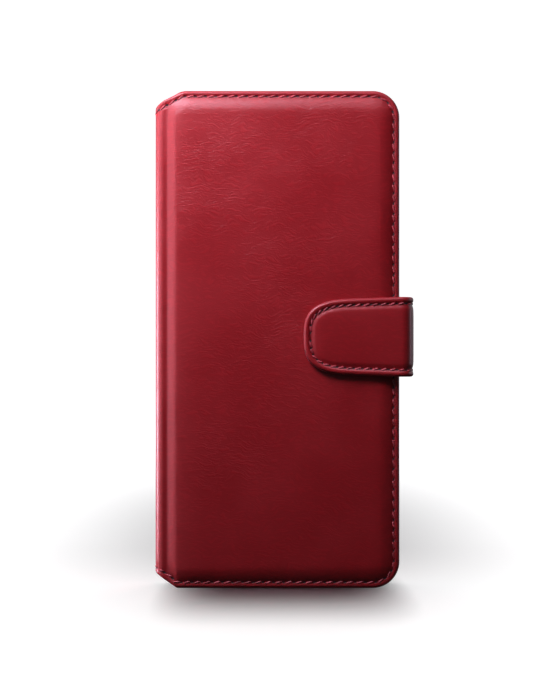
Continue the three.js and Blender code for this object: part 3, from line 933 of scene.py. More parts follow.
class Finishes:
    """Every material of the case."""

    def __init__(self, effects: Effects) -> None:
        """Builds the materials from the shared node groups."""
        self.cover_leather = LeatherFinish(pitch=CaseSewing.pitch).material(effects)
        self.tab_leather = LeatherFinish(
            name="red_tab_leather", pitch=TabSewing.pitch, crease=0.4, depth=0.02
        ).material(effects)
        self.pocket_leather = LeatherFinish(name="red_pocket_leather", crease=0.5).material(effects)
        self.lining = FibreFinish(
            "red_lining", (0.150, 0.0085, 0.013), (0.070, 0.0035, 0.006), 0.16, 0.05, 0.88, 0.35
        ).material(effects)
        self.thread = FibreFinish(
            "red_thread", (0.500, 0.055, 0.075), (0.220, 0.012, 0.020), 0.12, 0.03, 0.48, 0.2
        ).material(effects)
        self.board = FibreFinish(
            "grey_board", (0.34, 0.32, 0.29), (0.22, 0.205, 0.185), 0.3, 0.04, 0.95
        ).material(effects)
        self.foam = FibreFinish(
            "white_foam", (0.80, 0.78, 0.74), (0.62, 0.60, 0.56), 0.4, 0.12, 0.95
        ).material(effects)
        self.tape = FibreFinish(
            "black_tape", (0.035, 0.035, 0.037), (0.012, 0.012, 0.013), 0.25, 0.02, 0.8
        ).material(effects)
        self.tray = HardFinish(
            "tray_plastic", (0.150, 0.0065, 0.011), (0.110, 0.0045, 0.008), (0.30, 0.46)
        ).material(effects)
        self.steel = HardFinish(
            "plate_steel", (0.56, 0.57, 0.59), (0.42, 0.43, 0.45), (0.25, 0.45), 1.0, (0.1, 1.0, 4.0)
        ).material(effects)
        self.nickel = HardFinish(
            "magnet_nickel", (0.66, 0.63, 0.58), (0.50, 0.48, 0.44), (0.16, 0.34), 1.0
        ).material(effects)


# ---- Sewing --------------------------------------------------------------------------------


@dataclass(frozen=True)
class Stitch:
    """One visible stitch: a short length of twisted thread whose ends dive into the leather."""

    length: float = 2.7
    width: float = 0.70
    height: float = 0.50
    slant: float = 0.32  # how far the ends lie off the seam's line, to either side
    sink: float = 0.30  # how deep the ends go

    def template(self) -> tuple[Array, Array]:
        """The stitch in its own axes: along, across and up.

        Returns:
            Its vertices and its quads, without the two ends.
        """
        t = np.linspace(-1.0, 1.0, 11)[:, None]
        turn = np.linspace(0.0, 2.0 * math.pi, 9)[:-1][None, :]
        ply = 1.0 + 0.10 * np.cos(2.0 * turn + 5.0 * t)
        girth = np.sqrt(np.clip(1.0 - np.abs(t) ** 5, 0.03, 1.0)) * ply
        along = t * self.length / 2.0 + 0.0 * turn
        across = self.slant * np.sin(QUARTER * t) + girth * np.cos(turn) * self.width / 2.0
        arch = 0.12 - self.sink * np.abs(t) ** 3
        up = arch + girth * np.sin(turn) * self.height / 2.0
        points = np.stack([along, across, up], -1).reshape(-1, 3)
        return points, grid_faces(11, 8, False, ring=True)


def sew(
    name: str, places: Array, along: Array, up: Array, stitch: Stitch, material: bpy.types.Material
) -> bpy.types.Object:
    """A row of stitches as one piece.

    Args:
        name: Name of the piece.
        places: Middle of each stitch, in millimetres.
        along: Direction of the seam at each, or at all of them.
        up: Direction out of the leather at each, or at all of them.
        stitch: Shape of a stitch.
        material: Finish of the thread.

    Returns:
        The piece.
    """
    shape, quads = stitch.template()
    along, up = (np.broadcast_to(way, places.shape) for way in (along, up))
    along = along / np.linalg.norm(along, axis=1, keepdims=True)
    across = np.cross(up, along)
    across /= np.linalg.norm(across, axis=1, keepdims=True)
    axes = np.stack([along, across, up], 1)
    points = places[:, None, :] + np.einsum("vk,nkc->nvc", shape, axes)
    count = len(shape)
    ends = [range(8), range(count - 8, count)[::-1]]
    one = [tuple(quad) for quad in quads[:, ::-1].tolist()] + [tuple(end) for end in ends]
    starts = np.arange(len(places)) * count
    faces = [tuple(v + start for v in face) for start in starts.tolist() for face in one]
    piece = new_piece(name, Surface(points.reshape(-1, 3), faces), material, sharp=80.0)
    return piece


def stitch_marks(length: float, pitch: float) -> Array:
    """Where the middles of the stitches lie along a seam.

    Args:
        length: Length of the seam.
        pitch: Exact length of one stitch.

    Returns:
        Lengths along the seam.
    """
    count = int(length / pitch)
    return (np.arange(count) + 0.5) * pitch


@dataclass(frozen=True)
class CaseSewing:
    """The seam round the two covers and the ends of the spine."""

    pitch: float = 3.55
    inset: float = 2.05
    stitch: Stitch = Stitch()


@dataclass(frozen=True)
class TabSewing:
    """The seam round the tab."""

    pitch: float = 3.0
    inset: float = 2.35
    stitch: Stitch = Stitch(length=2.2, width=0.60, height=0.46, slant=0.28, sink=0.28)


# ---- Case leather and lining ---------------------------------------------------------------


@dataclass(frozen=True)
class Window:
    """The camera window of the back cover: a rounded rectangle in X and Z."""

    x: float
    z: float
    half_width: float
    half_height: float
    corner: float

    def distance(self, x: Array, z: Array) -> tuple[Array, Array, Array]:
        """Distance from the window's edge, negative inside, and its direction.

        Args:
            x: Place across.
            z: Height.

        Returns:
            The distance, and the X and Z of the direction away from the window.
        """
        dx, dz = x - self.x, z - self.z
        qx = np.abs(dx) - (self.half_width - self.corner)
        qz = np.abs(dz) - (self.half_height - self.corner)
        outside = np.hypot(np.maximum(qx, 0.0), np.maximum(qz, 0.0))
        inside = np.minimum(np.maximum(qx, qz), 0.0)
        length = np.maximum(outside, 1e-9)
        far = outside > 1e-6
        gx = np.where(far, np.maximum(qx, 0.0) / length, (qx > qz) * 1.0) * np.sign(dx)
        gz = np.where(far, np.maximum(qz, 0.0) / length, (qz >= qx) * 1.0) * np.sign(dz)
        return outside + inside - self.corner, gx, gz

    def grown(self, by: float) -> "Window":
        """The same window, larger all round."""
        return Window(self.x, self.z, self.half_width + by, self.half_height + by, self.corner + by)

    def line(self, step: float = 0.25) -> Array:
        """Points round the window, with X and Z in the last axis."""
        turns = np.linspace(0.0, QUARTER, 24)
        corners = []
        for quarter, (sx, sz) in enumerate([(1, 1), (-1, 1), (-1, -1), (1, -1)]):
            centre = np.array([
                self.x + sx * (self.half_width - self.corner),
                self.z + sz * (self.half_height - self.corner),
            ])
            angle = turns + quarter * QUARTER
            corners.append(centre + self.corner * np.stack([np.cos(angle), np.sin(angle)], -1))
        ring = np.concatenate(corners)
        return even_line(np.concatenate([ring, ring[:1]]), step)[:-1]


@dataclass
class HalfSheet:
    """One half of a sheet that wraps the case: over a cover, its fold and half the spine.

    The sheet is a grid. Its edge may be turned in round a small radius, and the grid's corner at
    the fore edge is rounded by walking squares as circles.
    """

    path: RoundedPath
    outline: Outline
    side: Side
    inset: float  # of the sheet's edge from the case's outline
    edge_radius: float  # 0 for a cut edge
    turned: float  # length turned in past the edge
    spacing: tuple[float, float, float]  # near the edges, on the cover, at the fold and spine
    relief: Relief
    window: Window | None = None
    seam: Array = field(init=False)

    def __post_init__(self) -> None:
        """Finds the line of the seam."""
        self.seam = self.outline.seam_line(CaseSewing.inset)

    def along_seam(self, s: Array, z: Array) -> Array:
        """How far along the seam the nearest point of it lies."""
        tree = KDTree(len(self.seam))
        for i, (a, b) in enumerate(self.seam):
            tree.insert((a, b, 0.0), i)
        tree.balance()
        step = float(np.linalg.norm(self.seam[1] - self.seam[0]))
        flat = np.stack([s.ravel(), z.ravel()], -1)
        found = np.array([tree.find((a, b, 0.0))[1] for a, b in flat], float)
        nearest = self.seam[found.astype(int)]
        after = self.seam[np.minimum(found.astype(int) + 1, len(self.seam) - 1)]
        way = after - nearest
        share = np.einsum("ij,ij->i", flat - nearest, way) / np.maximum((way**2).sum(1), 1e-9)
        return ((found + np.clip(share, -0.5, 0.5)) * step).reshape(s.shape)

    def surface(self, s: Array, z: Array) -> tuple[Array, Array]:
        """Points on the outer face, and the directions out of it.

        Args:
            s: Distance from the fore edge, unrolled.
            z: Height.

        Returns:
            Points and unit normals of the undisturbed sheet.
        """
        xy, normal = self.path.at(s)
        rise = self.relief(s, z, self.outline.edge_distance(s, z), self.along_seam(s, z))
        lifted = xy + normal * rise[..., None]
        points = np.stack([lifted[..., 0], lifted[..., 1], z], -1)
        normals = np.stack([normal[..., 0], normal[..., 1], np.zeros_like(s)], -1)
        return points, normals

    def _edge_steps(self) -> Array:
        """Steps over the turned edge, as lengths from where the flat face starts, negative."""
        if self.edge_radius == 0.0:
            return np.empty(0)
        wrap = math.pi * self.edge_radius
        turned = -wrap - np.linspace(self.turned, 0.0, 4)[:-1]
        return np.concatenate([turned, -np.linspace(wrap, 0.0, 10)[:-1]])

    def _steps(self, stops: list[float], spacings: list[float]) -> Array:
        """Steps from the turned edge inwards, through stretches of given spacing."""
        parts = [self._edge_steps(), np.zeros(1)]
        for a, b, spacing in zip(stops, stops[1:], spacings):
            parts.append(np.linspace(a, b, max(2, math.ceil((b - a) / spacing) + 1))[1:])
        return np.concatenate(parts)

    def _edge_place(self, p: Array, radius: Array) -> tuple[Array, Array]:
        """Inset from the outline and depth under the face of a step over the edge."""
        if self.edge_radius == 0.0:
            return self.inset + p, np.zeros_like(p)
        turn = np.clip(-p / self.edge_radius, 0.0, math.pi)
        past = np.maximum(-p - math.pi * self.edge_radius, 0.0)
        over = np.where(p < 0.0, radius * (1.0 - np.sin(turn)) + past, radius + p)
        return self.inset + over, np.where(p < 0.0, radius * (1.0 - np.cos(turn)), 0.0)

    def edge_radius_at(self, s: Array) -> Array:
        """The radius of the turned edge, which is thinner at the fold and on the spine."""
        outline = self.outline
        to_fold = smooth((s - outline.fold + 3.0) / 3.0)
        to_spine = smooth((s - outline.fold) / 4.0)
        return self.edge_radius * (1.0 - 0.5 * to_fold + 0.23 * to_spine)

    def grid(self) -> tuple[Array, Array, Array, Array, tuple[int, int]]:
        """Works out the grid.

        Returns:
            s and z of each vertex, its depth under the face, its unrolled place and the size of
            the grid, rows first.
        """
        outline, near, wide, tight = self.outline, *self.spacing
        start = self.inset + self.edge_radius
        across = self._steps([0.0, 9.0, outline.fold - 6.0 - start, outline.middle - start],
                             [near, wide, tight])
        half = self._steps([0.0, 9.0, outline.height / 2.0 - start], [near, wide])
        up = np.concatenate([half, half[-2::-1]])
        at_head = np.arange(len(up)) >= len(half)
        px, pz = np.meshgrid(across, up)
        head = np.broadcast_to(at_head[:, None], px.shape)
        reach = outline.corner - start

        s, depth_x = self._edge_place(px, np.full(px.shape, self.edge_radius))
        s_flat = start + px
        radius = self.edge_radius_at(s)
        fade = 1.0 - smooth(pz / 40.0)
        from_end, depth_z = self._edge_place(pz, radius)
        end_flat = start + pz
        away = outline.drop(s, head) * fade
        slant = 1.0 + (outline.slant(s, head) - 1.0) * fade
        from_end = away + from_end * slant + (self.edge_radius - radius) * (1.0 - fade)
        end_flat = away + end_flat * slant
        depth = depth_x + depth_z

        corner = (px < reach) & (pz < reach)
        u, v = reach - px[corner], reach - pz[corner]
        most, least = np.maximum(u, v), np.minimum(u, v)
        angle = QUARTER / 2.0 * np.maximum(least, 0.0) / most
        inset, corner_depth = self._edge_place(reach - most, np.full(most.shape, self.edge_radius))
        steep = v >= u
        major, minor = np.cos(angle), np.sin(angle)
        to_s, to_z = np.where(steep, minor, major), np.where(steep, major, minor)
        r = outline.corner
        s[corner], from_end[corner] = r - (r - inset) * to_s, r - (r - inset) * to_z
        flat_radius = r - (start + reach - most)
        s_flat[corner], end_flat[corner] = r - flat_radius * to_s, r - flat_radius * to_z
        depth[corner] = corner_depth

        z = np.where(head, outline.height - from_end, from_end)
        z_flat = np.where(head, outline.height - end_flat, end_flat)
        if self.side is Side.BACK:
            s_flat = 2.0 * outline.middle - s_flat
        return s, z, depth, np.stack([s_flat, z_flat], -1), px.shape

    def build(self) -> Surface:
        """The open outer face of the sheet, with its seam's values on its vertices."""
        s, z, depth, flat, size = self.grid()
        radius = max(self.edge_radius, 1e-9)
        weight = np.clip(1.0 - depth / radius, 0.0, 1.0)
        distance = self.outline.edge_distance(s, z)
        along = self.along_seam(s, z)
        xy, normal = self.path.at(s)
        rise = self.relief(s, z, distance, along) * weight - depth
        lifted = xy + normal * rise[..., None]
        points = np.stack([lifted[..., 0], lifted[..., 1], z], -1).reshape(-1, 3)
        faces = grid_faces(*size, flip=self.side is Side.FRONT)
        edge = np.where(depth > 0.0, -depth, distance)
        values = {
            "edge_mm": edge.ravel(),
            "across_mm": np.where(depth > 0.0, 9.0, distance - CaseSewing.inset).ravel(),
            "along_mm": along.ravel(),
        }
        surface = Surface(points, faces, flat.reshape(-1, 2), values)
        return self._cut_window(surface) if self.window else surface

    def _cut_window(self, surface: Surface) -> Surface:
        """Takes the faces inside the window away and draws the rim onto its line."""
        points, faces = surface.points, np.asarray(surface.faces)
        distance, _, _ = self.window.distance(points[:, 0], points[:, 2])
        faces = faces[distance[faces].mean(1) > 0.0]
        rim = np.unique(rim_edges(faces))
        rim = rim[np.abs(distance[rim]) < 1.5]
        off, gx, gz = self.window.distance(points[rim, 0], points[rim, 2])
        points[rim, 0] -= off * gx
        points[rim, 2] -= off * gz
        surface.faces = faces
        return surface


@dataclass
class CaseShell:
    """The outer leather, the lining and the main seam of the whole case."""

    finishes: Finishes
    leather: float = 0.45  # thickness of the visible skin
    edge_radius: float = 1.1
    turned: float = 1.2
    rise: float = 1.3  # of the padded front
    crown: float = 0.16  # further rise towards the middle of the front
    pad_margin: float = 2.2  # from the edge to the start of the padding
    pad_reach: float = 7.4  # from there to its full height
    fold_depth: float = 0.7
    fold_half: float = 3.2
    spine_radius: float = 3.0
    spine_bulge: float = 0.3
    lining: float = 0.4  # thickness of the lining
    lining_inset: float = 1.0  # of its edge from the edge of the case

    def __post_init__(self) -> None:
        """Reads the case's sizes from the frame."""
        front_low, front_high = box_mm("front_cover_leather")
        spine_low, _ = box_mm("spine_leather")
        self.fore_edge = float(front_high[0])
        self.height = float(front_high[2])
        self.face = {Side.FRONT: float(box_mm("front_seam")[0][1]),
                     Side.BACK: float(box_mm("back_cover_leather")[1][1])}
        self.inner = {Side.FRONT: float(box_mm("front_cover_lining")[0][1]),
                      Side.BACK: float(box_mm("back_cover_lining")[1][1])}
        self.fold_x = float(joint_mm("cover_fold")[0])
        self.spine_x = float(spine_low[0])
        self.middle_y = (self.face[Side.FRONT] + self.face[Side.BACK]) / 2.0
        self.window = self._window()

    def _window(self) -> Window:
        """The camera window, worked out from the opening that the record names."""
        openings = frame["record"]["physics"]["openings"]
        low, high = next(o["box_m"] for o in openings if o["name"] == "camera_window")
        middle = (np.array(low) + np.array(high)) / 2.0 / MM
        half_height = (high[2] - low[2]) / 2.0 / MM
        return Window(middle[0], middle[2], 7.5, half_height + 2.1, 6.5)

    def _path(self, side: Side) -> RoundedPath:
        """The section of the outer leather over one cover and half the spine."""
        face, sign = self.face[side], side.sign
        fold = face + sign * self.fold_depth
        corners = [
            (self.fore_edge, face),
            (self.fold_x + self.fold_half, face),
            (self.fold_x, fold),
            (self.spine_x, fold),
            (self.spine_x, self.middle_y),
        ]
        return RoundedPath(corners, [7.0, 4.0, self.spine_radius], sign)

    def _lining_path(self, side: Side) -> RoundedPath:
        """The section of the lining, which lies on the turned-in leather."""
        inner = self.inner[side]
        x = self.spine_x + 2.0 * self.edge_radius * 0.73
        corners = [(self.fore_edge, inner), (x, inner), (x, self.middle_y)]
        return RoundedPath(corners, [2.2], side.sign)

    def _relief(self, side: Side, outline: Outline) -> Relief:
        """The shape that padding, sewing and use give to the outer leather of one half."""
        pitch = CaseSewing.pitch

        def rise(s: Array, z: Array, edge: Array, along: Array) -> Array:
            """Height over the plain section, by place, distance from the edge and along the seam."""
            from_fold = outline.fold - s
            on_cover = smooth(from_fold / 2.0)
            bulge = self.spine_bulge * smooth(-from_fold / 5.0)
            seam = edge - CaseSewing.inset
            pinch = 0.5 + 0.5 * np.cos(2.0 * math.pi * along / pitch)
            groove = -0.20 * bell(seam / 0.5) - 0.07 * pinch * bell((seam - 0.9) / 0.8)
            lip = 0.06 * bell((edge - 1.1) / 0.6)
            waves = 0.05 * ripple(s, z, 47.0, 0.7) + 0.006 * ripple(s, 1.6 * z, 13.0, 2.1)
            inner = smooth((edge - 4.0) / 6.0)
            creases = 0.008 * ripple(2.0 * s, 0.35 * z, 17.0, 4.4) * bell(from_fold / 4.5)
            shape = groove + lip + bulge + (waves * on_cover + creases) * inner
            if side is Side.FRONT:
                from_spine = np.clip(from_fold / 12.0, 0.0, 1.0)
                padding = crest(edge, self.pad_margin, self.pad_reach) * (1.0 - (1.0 - from_spine) ** 2.8)
                crown = smooth(edge / 38.0) * smooth(from_fold / 38.0)
                return shape + self.rise * padding + self.crown * crown
            root_low, root_high = box_mm("tab_root")
            in_root = smooth((z - root_low[2] + 1.5) / 3.0) * smooth((root_high[2] - z + 1.5) / 3.0)
            root_length = self.fore_edge - root_low[0]
            in_root *= smooth((root_length - s + 1.5) / 3.0) * smooth((s - 2.4) / 2.0)
            return shape + 0.16 * in_root - 0.12 * smooth((2.6 - from_fold) / 2.6) * on_cover

        return rise

    def _lining_relief(self, outline: Outline) -> Relief:
        """Slight waves of the lining, drawn down by its seam."""

        def rise(s: Array, z: Array, edge: Array, along: Array) -> Array:
            """Height over the plain section, by place and distance from the edge."""
            seam = edge - CaseSewing.inset
            waves = 0.05 * ripple(s, z, 23.0, 3.3) * smooth((edge - 3.0) / 5.0)
            return 0.05 * bell(seam / 0.5) - np.abs(waves) * 0.5

        return rise

    def _blend(self, piece: bpy.types.Object, side: Side) -> None:
        """Bakes a piece's placement into its mesh, the same for either side."""
        if side is Side.FRONT:
            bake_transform(piece)
        else:
            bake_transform(piece)

    def outer(self, side: Side) -> bpy.types.Object:
        """The outer leather of one half and its stitches.

        Args:
            side: Which half.

        Returns:
            The leather.
        """
        path = self._path(side)
        outline = self._outline(path)
        window = self.window.grown(1.6) if side is Side.BACK else None
        sheet = HalfSheet(
            path, outline, side, 0.0, self.edge_radius, self.turned, (0.45, 0.68, 0.42),
            self._relief(side, outline), window,
        )
        name = f"{side.value}_case_leather"
        piece = new_piece(name, thicken(sheet.build(), self.leather), self.finishes.cover_leather)
        stitches = self._stitches(sheet, f"{side.value}_case_stitches")
        if side is Side.FRONT:
            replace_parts(piece, "front_cover_leather", "spine_leather")
            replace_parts(stitches, "front_seam")
        else:
            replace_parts(piece, "back_cover_leather")
            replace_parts(stitches, "back_seam")
        self._blend(piece, side)
        self._blend(stitches, side)
        return piece

    def _outline(self, path: RoundedPath) -> Outline:
        """The unrolled outline that belongs to a section."""
        places = path.points[:, 0]
        fold = float(np.interp(-self.fold_x, -places[:np.argmin(places) + 1],
                               path.lengths[:np.argmin(places) + 1]))
        return Outline(self.height, fold, path.length)

    def _stitches(self, sheet: HalfSheet, name: str) -> bpy.types.Object:
        """The stitches of a sheet, along its seam."""
        line = sheet.seam
        step = float(np.linalg.norm(line[1] - line[0]))
        lengths = np.arange(len(line)) * step
        marks = stitch_marks(lengths[-1], CaseSewing.pitch)
        s, z = (np.interp(marks, lengths, line[:, i]) for i in (0, 1))
        ahead = [np.interp(marks + 0.3, lengths, line[:, i]) for i in (0, 1)]
        places, up = sheet.surface(s, z)
        further, _ = sheet.surface(*ahead)
        return sew(name, places, further - places, up, CaseSewing.stitch, self.finishes.thread)

    def inside(self, side: Side) -> bpy.types.Object:
        """The lining of one half and the stitches that show on it.

        Args:
            side: Which half.

        Returns:
            The lining.
        """
        path = self._lining_path(side)
        fold = self.fore_edge - self.fold_x
        outline = Outline(self.height, fold, path.length)
        window = self.window.grown(1.6) if side is Side.BACK else None
        flat = HalfSheet(
            path, outline, side, self.lining_inset, 0.0, 0.0, (1.0, 1.3, 0.7),
            self._lining_relief(outline), window,
        )
        name = f"{side.value}_case_lining"
        skin = flat.build()
        piece = new_piece(name, thicken(skin, self.lining), self.finishes.lining)
        if side is Side.FRONT:
            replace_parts(piece, "front_cover_lining", "spine_lining")
        else:
            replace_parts(piece, "back_cover_lining")
        self._blend(piece, side)
        self._inner_stitches(flat, side)
        return piece

    def _inner_stitches(self, sheet: HalfSheet, side: Side) -> None:
        """The other face of the main seam, which shows on the lining."""
        back = HalfSheet(sheet.path.turned_over(self.lining), sheet.outline, side, sheet.inset,
                         0.0, 0.0, sheet.spacing, sheet.relief)
        stitches = self._stitches(back, f"{side.value}_inner_stitches")
        self._blend(stitches, side)

    def foam_pad(self) -> bpy.types.Object:
        """The thin domed pad under the front leather, with soft edges.

        Returns:
            The pad.
        """
        low, high = box_mm("front_cover_foam")
        middle, half = (low + high) / 2.0, (high - low) / 2.0
        ring = Window(middle[0], middle[2], half[0], half[2], 7.0).line(1.2)
        reach = half[2] - half[0]
        core = np.stack([np.full(len(ring), middle[0]),
                         np.clip(ring[:, 1], middle[2] - reach, middle[2] + reach)], -1)
        shares = np.concatenate([np.linspace(0.0, 0.2, 12), np.linspace(0.2, 0.94, 9)[1:]])
        inward = core - ring
        place = ring + inward * shares[:, None, None]
        depth = np.linalg.norm(inward, axis=1) * shares[:, None]
        thick = (high[1] - low[1]) * (0.2 + 0.8 * (1.0 - (1.0 - np.clip(depth / 7.0, 0, 1)) ** 3))
        front = np.stack([place[..., 0], high[1] - thick, place[..., 1]], -1)[::-1]
        back = np.stack([place[..., 0], np.full(depth.shape, high[1]), place[..., 1]], -1)
        points = np.concatenate([front, back])
        rows, columns = points.shape[:2]
        quads = grid_faces(rows, columns, True, ring=True)
        caps = [tuple(range(columns)), tuple(range((rows - 1) * columns, rows * columns))]
        faces = [tuple(f) for f in quads.tolist()] + caps
        piece = new_piece("front_foam_pad", Surface(points.reshape(-1, 3), faces),
                          self.finishes.foam)
        weld(piece, 0.0005)
        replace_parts(piece, "front_cover_foam")
        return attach(piece, "front_cover")

    def window_rim(self) -> bpy.types.Object:
        """The rolled leather edge round the camera window of the back cover."""
        face = self.face[Side.BACK]
        inner = self.inner[Side.BACK] - self.lining
        line = self.window.grown(1.45).line()
        after, before = np.roll(line, -1, axis=0), np.roll(line, 1, axis=0)
        way = after - before
        way /= np.linalg.norm(way, axis=1, keepdims=True)
        out = np.stack([way[:, 1], -way[:, 0]], -1)
        middle, half = (face + inner) / 2.0, (face - inner) / 2.0
        turns = np.linspace(0.0, 2.0 * math.pi, 25)[:-1]
        reach = 0.55 * np.sign(np.cos(turns)) * np.abs(np.cos(turns)) ** 0.8
        depth = (half + 0.12) * np.sign(np.sin(turns)) * np.abs(np.sin(turns)) ** 0.7
        x = line[:, None, 0] + out[:, None, 0] * reach
        z = line[:, None, 1] + out[:, None, 1] * reach
        y = np.broadcast_to(middle + depth, x.shape)
        points = np.stack([x, y, z], -1)
        points = np.concatenate([points, points[:1]])
        count, ring = points.shape[:2]
        quads = grid_faces(count, ring, True, ring=True)
        run = np.arange(count)[:, None] * 0.25 + 0.0 * turns
        flat = np.stack([run, np.broadcast_to(turns * 1.5, run.shape)], -1)
        surface = Surface(points.reshape(-1, 3), quads, flat.reshape(-1, 2))
        piece = new_piece("camera_window_rim", surface, self.finishes.pocket_leather)
        weld(piece)
        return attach(piece, "back_cover")


# ---- Magnetic tab --------------------------------------------------------------------------


@dataclass
class MagneticTab:
    """The strap that closes the case: round tip, rolled edges, sewn channel and padded middle."""

    finishes: Finishes
    half: float = 1.0  # half the strap's thickness
    channel: float = 0.46  # depth of the sewn channel
    tip_length: float = 18.0
    tip_power: float = 3.0
    taper: float = 0.035  # half width lost for each millimetre from the bend towards the tip
    inner_levels: int = 7
    front_bend: float = 3.4  # radius of the bend from the front to the fore edge
    root_bend: float = 3.9  # radius of the bend to the back

    def __post_init__(self) -> None:
        """Reads the strap's place from the frame."""
        low, high = box_mm("tab_flap_leather")
        bridge_low, bridge_high = box_mm("tab_bridge_leather")
        root_low, root_high = box_mm("tab_root")
        self.tip_x = float(low[0])
        self.middle_z = float(low[2] + high[2]) / 2.0
        self.width = float(high[2] - low[2])
        front_y = float(low[1]) + self.half
        side_x = float(bridge_high[0]) - self.half
        tongue_y = float(root_high[1] + root_low[1]) / 2.0 + 0.25
        self.root_x = float(root_low[0]) + 14.0
        self.fore_edge = float(box_mm("back_cover_leather")[1][0])
        corners = [(self.tip_x, front_y), (side_x, front_y), (side_x, tongue_y),
                   (self.root_x, tongue_y)]
        self.path = RoundedPath(corners, [self.front_bend, self.root_bend], -1.0)
        self.bend_start = side_x - self.tip_x - self.front_bend
        self.split = self.bend_start + self.front_bend * QUARTER + 5.0

    def half_width(self, a: Array) -> Array:
        """Half the strap's width at a distance from its tip."""
        lost = self.taper * np.clip(self.bend_start - a, 0.0, None)
        u = np.clip(a / self.tip_length, 0.0, 1.0)
        round_tip = (1.0 - (1.0 - u) ** self.tip_power) ** (1.0 / self.tip_power)
        return (self.width / 2.0 - lost) * round_tip

    def thickness_share(self, a: Array) -> Array:
        """The strap is skived thin where it goes into the back cover."""
        left = self.path.length - a
        gone = self.fore_edge - self.root_x
        return 0.42 + 0.58 * smooth((left - gone + 0.6) / 2.6)

    def face_height(self, edge: Array, along: Array) -> Array:
        """Height of the outer face over the strap's middle, by distance from the edge."""
        rolled = np.sqrt(np.clip(1.0 - np.square(1.0 - np.clip(edge / self.half, 0.0, 1.0)), 0, 1))
        seam = edge - TabSewing.inset
        pinch = 0.5 + 0.5 * np.cos(2.0 * math.pi * along / TabSewing.pitch)
        sides = np.where(seam > 0.0, 1.25, 0.62)
        sunk = self.channel * bell(seam / sides) + 0.06 * pinch * bell((seam - 0.7) / 0.7)
        pad = 0.05 * smooth((edge - 3.0) / 5.0)
        return self.half * rolled - sunk + pad

    def under_height(self, edge: Array) -> Array:
        """Height of the inner face, by distance from the edge."""
        rolled = np.sqrt(np.clip(1.0 - np.square(1.0 - np.clip(edge / 0.8, 0.0, 1.0)), 0.0, 1.0))
        return -self.half * rolled

    def _side_line(self, start: float, end: float, step: float) -> Array:
        """The upper edge of the strap between two distances from its tip."""
        if start > 0.0:
            a = np.linspace(start, end, math.ceil((end - start) / step) + 1)
            return np.stack([a, self.half_width(a)], -1)
        t = np.linspace(0.0, 1.0, 400) ** 2.5
        a = t * end
        line = np.stack([a, self.half_width(a)], -1)
        return even_line(line, step)

    @staticmethod
    def _edge_frame(line: Array, start: float) -> tuple[Array, Array]:
        """The directions into the strap from its edge, and how far each point is from the end.

        Args:
            line: The upper edge of a stretch.
            start: Distance of its start from the tip; 0 for the round tip.

        Returns:
            The unit directions and the lengths along the edge.
        """
        way = np.gradient(line, axis=0)
        if start == 0.0:
            way[0] = (0.0, 1.0)
        way /= np.linalg.norm(way, axis=1, keepdims=True)
        steps = np.cumsum(np.linalg.norm(np.diff(line, axis=0, prepend=line[:1]), axis=1))
        return np.stack([way[:, 1], -way[:, 0]], -1), steps[-1] - steps

    def _surface(self, start: float, end: float) -> tuple[Surface, Array]:
        """The closed skin of a stretch of the strap.

        Args:
            start: Distance of its start from the tip; 0 for the round tip.
            end: Distance of its end from the tip.

        Returns:
            The skin, without its flat ends, and the line of its upper edge.
        """
        line = self._side_line(start, end, 0.5)
        inward, along = self._edge_frame(line, start)
        rolled = 1.0 - np.sin(np.linspace(QUARTER, 0.0, 7))
        near = np.concatenate([rolled, np.arange(1.18, 4.6, 0.19)])
        ring = line[:, None, :] + inward[:, None, :] * near[None, :, None]
        spine_a = np.maximum(line[:, 0], self.tip_length * 0.62 if start == 0.0 else 0.0)
        medial = np.stack([spine_a, np.zeros_like(spine_a)], -1)
        shares = np.linspace(0.0, 1.0, self.inner_levels + 1)[1:]
        last = ring[:, -1:, :]
        fill = last + (medial[:, None, :] - last) * shares[None, :, None]
        levels = np.concatenate([ring, fill], axis=1)
        depth_in = np.linalg.norm(fill - last, axis=-1) + near[-1]
        edge = np.concatenate([np.broadcast_to(near, ring.shape[:2]), depth_in], axis=1)
        along_all = np.broadcast_to(along[:, None], edge.shape)
        top = self.face_height(edge, along_all)
        under = self.under_height(edge)
        a = np.concatenate([levels[:, ::-1, 0], levels[:, 1:, 0]], axis=1)
        z = np.concatenate([levels[:, ::-1, 1], levels[:, 1:, 1]], axis=1)
        h = np.concatenate([top[:, ::-1], under[:, 1:]], axis=1)
        edges = np.concatenate([edge[:, ::-1], -edge[:, 1:]], axis=1)
        runs = np.broadcast_to(along[:, None], a.shape)
        h = h * self.thickness_share(a)
        xy, normal = self.path.at(a)
        lifted = xy + normal * h[..., None]
        sides = []
        for sign in (1.0, -1.0):
            points = np.stack([lifted[..., 0], lifted[..., 1], self.middle_z + sign * z], -1)
            flat = np.stack([a, sign * z], -1) + np.array([0.0, self.middle_z])
            values = {
                "edge_mm": np.where(edges > 0.0, edges, -1.0 + 0.0 * edges).ravel(),
                "across_mm": np.where(edges > 0.0, edges - TabSewing.inset, 9.0).ravel(),
                "along_mm": runs.ravel(),
            }
            quads = grid_faces(*a.shape, flip=sign > 0.0)
            sides.append(Surface(points.reshape(-1, 3), quads, flat.reshape(-1, 2), values))
        return joined(sides), line

    def _stretch(self, name: str, start: float, end: float) -> tuple[bpy.types.Object, Array]:
        """One stretch of the strap as a closed piece."""
        surface, line = self._surface(start, end)
        piece = new_piece(name, surface, self.finishes.tab_leather)
        weld(piece, close=True)
        return piece, line

